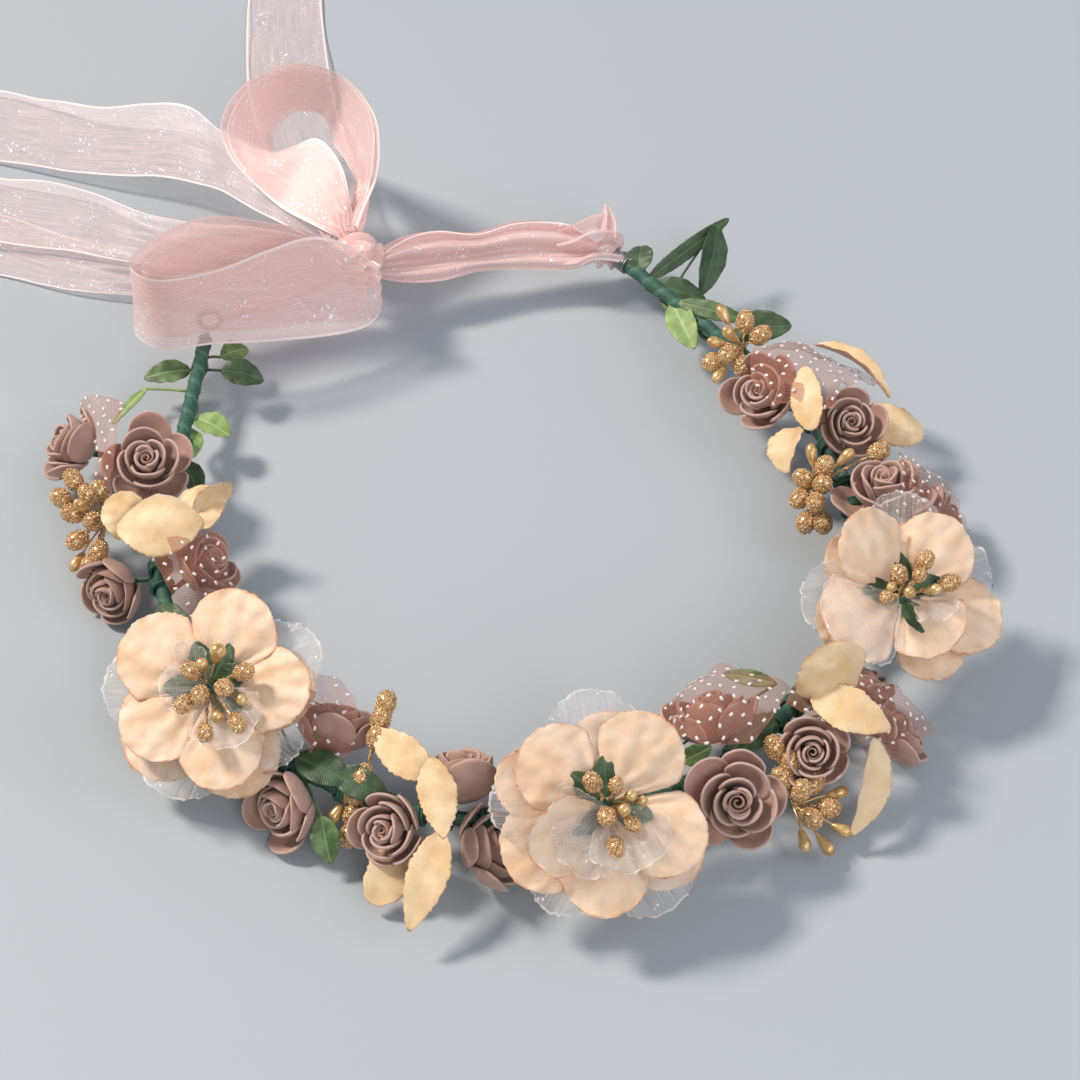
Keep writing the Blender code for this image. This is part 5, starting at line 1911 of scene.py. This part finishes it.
CREAM_SPRAYS = (
    LeafSpray(
        "blossom_a", -104.0, (-88, 21, 17),
        (LeafCut((-79, 21, 20), (-69.5, 24, 27), (0.5, -0.6, 0.7), 8, -2.2, 0.5, 0.9, 40, 3),),
        (
            (
                (-0.1, -0.35, 0.93),
                PetalCut(
                    -84, 19, 23, 30, start=-6.5, height=8.0, dome=4.2, crease=0.2, curl=0.3, bend=-5.0,
                    seed=61,
                ),
            ),
            (
                (-0.1, -0.35, 0.93),
                PetalCut(176, 15, 14, 26, start=1.5, height=4.0, dome=1.6, crease=0.3, bend=-2.0, seed=62),
            ),
            (
                (0.1, -0.1, 0.98),
                PetalCut(15, 16, 14, 18, start=1.0, height=1.0, dome=1.2, crease=0.5, seed=63),
            ),
        ),
    ),
    LeafSpray(
        "leaves_c", -27.0, (-39, -84, 19),
        (
            LeafCut((-38, -81, 25), (-50, -62, 24), (-0.35, -0.45, 0.8), 9.5, 1.6, 0.15, 0.1, 0, 4),
            LeafCut((-38, -78, 30), (-40, -99, 25), (0.1, -0.55, 0.85), 9.5, 1.2, -0.12, 0.1, 0, 5),
            LeafCut((-39, -93, 20), (-52, -112, 8.5), (-0.15, -0.6, 0.75), 10, 1.8, 0.1, 0.1, 0, 6),
            LeafCut((-46, -90, 12), (-59, -99, 4), (-0.3, -0.6, 0.7), 12, 1.0, 0.1, 0.8, 0, 7),
        ),
    ),
    LeafSpray(
        "leaves_e", 38.0, (67, -79, 19),
        (
            LeafCut((58, -80, 27), (75, -93, 24), (0.0, -0.5, 0.85), 11, 2.0, 0.1, 0.25, 10, 8),
            LeafCut((72, -90, 18), (61, -109, 5), (0.55, -0.5, 0.6), 10, 1.8, 0.55, 0.3, 0, 9),
        ),
        (
            (
                (0.0, -0.75, 0.66),
                PetalCut(108, 20, 20, 24, start=0.5, height=2.0, dome=3.0, crease=0.25, curl=0.4, seed=64),
            ),
        ),
    ),
    LeafSpray(
        "leaves_g", 102.0, (90, 22, 20),
        (
            LeafCut((85, 6, 25), (88, 24, 31), (-0.5, -0.5, 0.7), 8.5, 1.2, 0.15, 0.5, 0, 10),
            LeafCut((95, 36, 25), (109, 13, 24), (0.5, 0.2, 0.85), 9.0, 2.8, 0.5, 0.55, -20, 11),
            LeafCut((102, 14, 19), (118, 7, 13), (0.25, -0.5, 0.8), 11, 1.4, -0.35, 0.9, 0, 12),
            LeafCut((83, 14, 18), (78, 2, 14), (-0.7, -0.4, 0.5), 11, 1.8, 0.35, 0.6, 30, 13),
        ),
    ),
)

GOLD_SPRAYS = (
    GoldSpray(
        "spray_a", -107.0, (-103, 30, 13),
        (
            (-113, 38, 17), (-109, 41, 20), (-106, 34, 21), (-111, 32, 17), (-111, 26, 13), (-106, 27, 18),
            (-109, 19, 10), (-106, 20, 14), (-103, 35, 20), (-108, 13, 8),
        ),
        ((-112, 22, 9), (-108, 31, 20)),
    ),
    GoldSpray(
        "spray_b", -40.0, (-52, -67, 17),
        (
            (-45, -57, 27), (-47, -60, 25), (-49, -64, 23), (-54, -70, 17), (-56, -73, 14), (-58, -76, 10),
            (-60, -80, 7), (-58, -71, 13),
        ),
        ((-62, -74, 9),),
    ),
    GoldSpray(
        "spray_d", 30.5, (49, -99, 8),
        (
            (47, -87, 18), (50, -91, 16), (47, -94, 14), (51, -98, 13), (55, -96, 12), (52, -104, 9),
            (57, -102, 9),
        ),
        ((60, -99, 10), (54, -110, 5), (59, -107, 6), (49, -108, 6)),
    ),
    GoldSpray(
        "spray_f", 87.0, (83, -5, 15),
        (
            (81, -12, 17), (78, -8, 15), (82, -16, 13), (84, -8, 19), (78, -14, 12), (86, -3, 20),
            (80, -4, 18), (101, -3, 22),
        ),
        ((92, -2, 21), (84, 2, 20)),
    ),
    GoldSpray(
        "spray_g", 123.0, (77, 44, 20),
        ((79, 49, 25), (72, 41, 22), (68, 42, 19), (75, 38, 20), (82, 44, 24)),
        ((74, 53, 25), (70, 45, 23), (74, 46, 24), (69, 38, 18)),
    ),
)

NETS = (
    DottedNet(
        "net_a", -124.0, (-92, 59, 13),
        (
            (
                ((-106, 72, 16), (-98, 70, 24), (-90, 64, 24)),
                ((-104, 60, 22), (-98, 54, 26), (-94, 50, 26)),
                ((-102, 46, 23), (-99, 40, 24), (-98, 36, 24)),
                ((-106, 38, 18), (-103, 33, 20), (-100, 28, 20)),
            ),
            (
                ((-98, 14, 25), (-88, 10, 28), (-74, 12, 24)), ((-96, 8, 24), (-84, 2, 25), (-72, 4, 20)),
                ((-92, -4, 20), (-82, -6, 21), (-72, -2, 16)),
                ((-92, -14, 16), (-84, -14, 16), (-66, -8, 14)),
            ),
        ),
    ),
    DottedNet(
        "net_b", -58.0, (-72, -40, 14),
        (
            (
                ((-75, -46, 31), (-66, -38, 27), (-58, -36, 22)),
                ((-72, -54, 30), (-62, -48, 27), (-52, -44, 24)),
                ((-68, -60, 24), (-60, -58, 24), (-50, -56, 24)),
                ((-66, -64, 17), (-60, -66, 17), (-54, -66, 18)),
            ),
        ),
        (
            LeafCut((-66, -49, 20), (-60, -60, 21), (-0.2, -0.4, 0.9), 6, 1.0, 0.2, 0.2, 0, 91),
            LeafCut((-66, -76, 12), (-66, -86, 5), (-0.2, -0.6, 0.8), 7, 1.0, 0.2, 0.2, 0, 92),
        ),
    ),
    DottedNet(
        "net_d", 14.0, (21, -80, 14),
        (
            (
                ((20, -78, 12), (21, -66, 16), (30, -60, 12)),
                ((22, -84, 24), (30, -72, 29), (38, -60, 22)),
                ((28, -90, 25), (38, -78, 29), (50, -66, 24)),
                ((42, -90, 22), (52, -82, 24), (60, -72, 22)),
            ),
            (
                ((48, -78, 24), (56, -72, 32), (66, -66, 30)),
                ((56, -86, 23), (66, -80, 27), (76, -74, 23)),
                ((66, -92, 20), (78, -86, 20), (88, -76, 15)), ((72, -98, 8), (82, -94, 10), (96, -84, 7)),
            ),
        ),
        (
            LeafCut((54, -66, 15), (43, -56, 10), (-0.2, -0.4, 0.9), 4, 1.0, 0.2, 0.1, 0, 93),
            LeafCut((24, -85, 17), (31, -86, 22), (-0.2, -0.6, 0.8), 5, 0.8, 0.2, 0.2, 0, 94),
            LeafCut((66, -78, 15), (76, -80, 19), (0.2, -0.6, 0.8), 6, 1.0, 0.2, 0.2, 0, 95),
        ),
    ),
    DottedNet(
        "net_f", 72.0, (97, -33, 11),
        (
            (
                ((92, -30, 24), (104, -34, 20), (112, -34, 14)),
                ((98, -24, 27), (110, -26, 21), (120, -27, 13)),
                ((102, -12, 27), (112, -12, 20), (122, -14, 12)),
                ((104, -4, 25), (112, -4, 18), (120, -6, 12)),
            ),
            (
                ((74, 18, 22), (80, 12, 28), (92, 4, 29)), ((72, 30, 26), (84, 26, 30), (98, 14, 30)),
                ((76, 40, 26), (90, 38, 27), (108, 18, 24)), ((84, 44, 20), (96, 40, 20), (116, 24, 18)),
            ),
        ),
    ),
)

VINES = (
    Vine(
        "vine_left", (-151.0, -126.0),
        (
            (
                -147.0,
                LeafCut((-71, 82, 10), (-84, 83, 9), (0, -0.2, 1), 7, 1.0, 0.2, 0.3, 0, 71),
                Green.MID,
            ),
            (
                -143.0,
                LeafCut((-63, 78, 12), (-52, 74, 9), (0, -0.2, 1), 8, 1.2, 0.2, 0.3, 0, 72),
                Green.DARK,
            ),
            (
                -146.0,
                LeafCut((-62, 84, 11), (-54, 86, 10), (0, -0.2, 1), 6.5, 1.0, 0.2, 0.3, 0, 73),
                Green.MID,
            ),
            (
                -138.0,
                LeafCut((-84, 80, 8), (-95, 71, 6), (0, -0.2, 1), 2.4, 1.0, 0.1, 0.0, 0, 74),
                Green.LIGHT,
            ),
            (
                -132.0,
                LeafCut((-73, 62, 12), (-65, 54, 11), (0.3, -0.2, 0.9), 8, 1.0, 0.2, 0.3, 0, 75),
                Green.LIGHT,
            ),
            (
                -131.0,
                LeafCut((-76, 60, 11), (-76, 49, 11), (0.3, -0.2, 0.9), 6.5, 1.0, 0.2, 0.3, 0, 76),
                Green.LIGHT,
            ),
            (
                -127.0,
                LeafCut((-79, 50, 10), (-77, 36, 9), (0.3, -0.1, 0.9), 7, 1.0, 0.2, 0.3, 0, 77),
                Green.DARK,
            ),
            (
                -84.0,
                LeafCut((-94, -4, 16.5), (-88, -21, 17), (-0.2, -0.3, 0.9), 8, 1.0, 0.2, 0.3, 0, 78),
                Green.DARK,
            ),
            (
                -47.0,
                LeafCut((-69, -60, 16.5), (-57, -72, 17), (0, -0.4, 0.9), 8.5, 1.0, 0.2, 0.3, 0, 79),
                Green.DARK,
            ),
            (
                -39.0,
                LeafCut((-61, -67, 17), (-49, -78, 16), (-0.1, -0.4, 0.9), 8, 1.0, 0.2, 0.3, 0, 70),
                Green.DARK,
            ),
        ),
    ),
    Vine(
        "vine_right", (146.0, 123.0),
        (
            (
                144.0,
                LeafCut((59, 85, 14), (62, 94, 15), (-0.4, -0.5, 0.7), 8, 1.2, 0.2, 0.6, 0, 81),
                Green.DARK,
            ),
            (
                143.0,
                LeafCut((61, 82, 14), (87, 92, 22), (0.0, -0.6, 0.7), 4.5, 0.6, 0.1, 0.7, 0, 82),
                Green.DARK,
            ),
            (
                141.0,
                LeafCut((83, 91, 21), (74, 74, 12), (0.4, -0.5, 0.7), 8, 1.6, 0.25, 0.4, 10, 83),
                Green.DARK,
            ),
            (
                141.0,
                LeafCut((62, 80, 13), (75, 72, 11), (0.0, -0.4, 0.9), 7.5, 1.0, 0.2, 0.3, 0, 84),
                Green.DARK,
            ),
            (
                137.0,
                LeafCut((65, 72, 13), (67, 55, 11), (-0.4, -0.3, 0.85), 8, 1.0, 0.2, 0.35, 0, 85),
                Green.LIGHT,
            ),
            (
                135.0,
                LeafCut((66, 70, 15), (83, 57, 16), (0.0, -0.5, 0.85), 5, 0.8, 0.1, 0.3, 0, 86),
                Green.MID,
            ),
            (
                126.0,
                LeafCut((78, 54, 17), (92, 47, 22), (0.1, -0.5, 0.8), 9, 1.4, 0.2, 0.5, 0, 87),
                Green.DARK,
            ),
            (
                25.0,
                LeafCut((36, -85, 16.5), (50, -77, 17), (0, -0.4, 0.9), 8, 1.0, 0.2, 0.3, 0, 88),
                Green.DARK,
            ),
        ),
    ),
)


# ---------------- the studio


@dataclass
class Studio:
    """A plain pale floor, soft lamps placed in metres, and the camera."""

    azimuth: float = -14.0
    elevation: float = 50.0
    distance: float = 850.0
    look: Row = (7.9, -2.8, 12.0)
    focal: float = 107.0

    def floor(self) -> None:
        """Makes the floor, pale blue grey."""
        mesh = bpy.data.meshes.new("floor")
        side = 3.0
        mesh.from_pydata([(-side, -side, 0), (side, -side, 0), (side, side, 0), (-side, side, 0)], [], [(0, 1, 2, 3)])
        obj = link_in("floor", mesh)
        mat = bpy.data.materials.new("painted board, pale grey")
        mat.use_nodes = True
        shader = mat.node_tree.nodes["Principled BSDF"]
        shader.inputs["Base Color"].default_value = linear("AEB5BB")
        shader.inputs["Roughness"].default_value = 0.55
        mesh.materials.append(mat)

    def light(self, name: str, place: Row, energy: float, size: float, tint: str) -> None:
        """Makes one soft square lamp that points at the crown.

        Args:
            name: Its name.
            place: Where it stands.
            energy: Its power in watts.
            size: Its side.
            tint: Its colour, as six hex digits.
        """
        data = bpy.data.lights.new(name, "AREA")
        data.energy, data.size, data.color = energy, size, linear(tint)[:3]
        obj = link_in(name, data)
        obj.location = Vector(place)
        obj.rotation_euler = (-Vector(place)).to_track_quat("-Z", "Y").to_euler()

    def camera(self) -> None:
        """Makes the camera."""
        a, e = math.radians(self.azimuth), math.radians(self.elevation)
        back = Vector((math.sin(a) * math.cos(e), -math.cos(a) * math.cos(e), math.sin(e)))
        data = bpy.data.cameras.new("camera")
        data.lens, data.sensor_width = self.focal, 36.0
        data.clip_start, data.clip_end = 0.05, 20.0
        obj = link_in("camera", data)
        obj.location = (Vector(self.look) + back * self.distance) * MM
        obj.rotation_euler = (-back).to_track_quat("-Z", "Y").to_euler()
        bpy.context.scene.camera = obj

    def build(self) -> None:
        """Sets up floor, lights and camera."""
        self.floor()
        self.light("key", (-1.7, 1.35, 2.3), 98.0, 0.5, "FFF4E8")
        self.light("fill", (1.5, -0.7, 1.5), 13.0, 1.4, "F2F2FF")
        self.light("front", (0.1, -1.5, 1.2), 11.0, 0.9, "FFFFFF")
        world = bpy.data.worlds.new("studio")
        world.use_nodes = True
        sky = world.node_tree.nodes["Background"]
        sky.inputs["Color"].default_value = linear("DDE4EC")
        sky.inputs["Strength"].default_value = 0.38
        bpy.context.scene.world = world
        bpy.context.scene.view_settings.view_transform = "Standard"
        self.camera()


def main() -> None:
    """Builds the crown round its frame, piece by piece."""
    logging.basicConfig(level=logging.INFO, format="%(message)s")
    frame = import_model()
    Studio().build()
    WireBand().build(frame)
    for vine in VINES:
        vine.build()
    for rose in ROSES:
        rose.build()
    for blossom in BLOSSOMS:
        blossom.build()
    for spray in CREAM_SPRAYS + GOLD_SPRAYS:
        spray.build()
    for net in NETS:
        net.build()
    OrganzaBow().build()


if __name__ == "__main__":
    main()
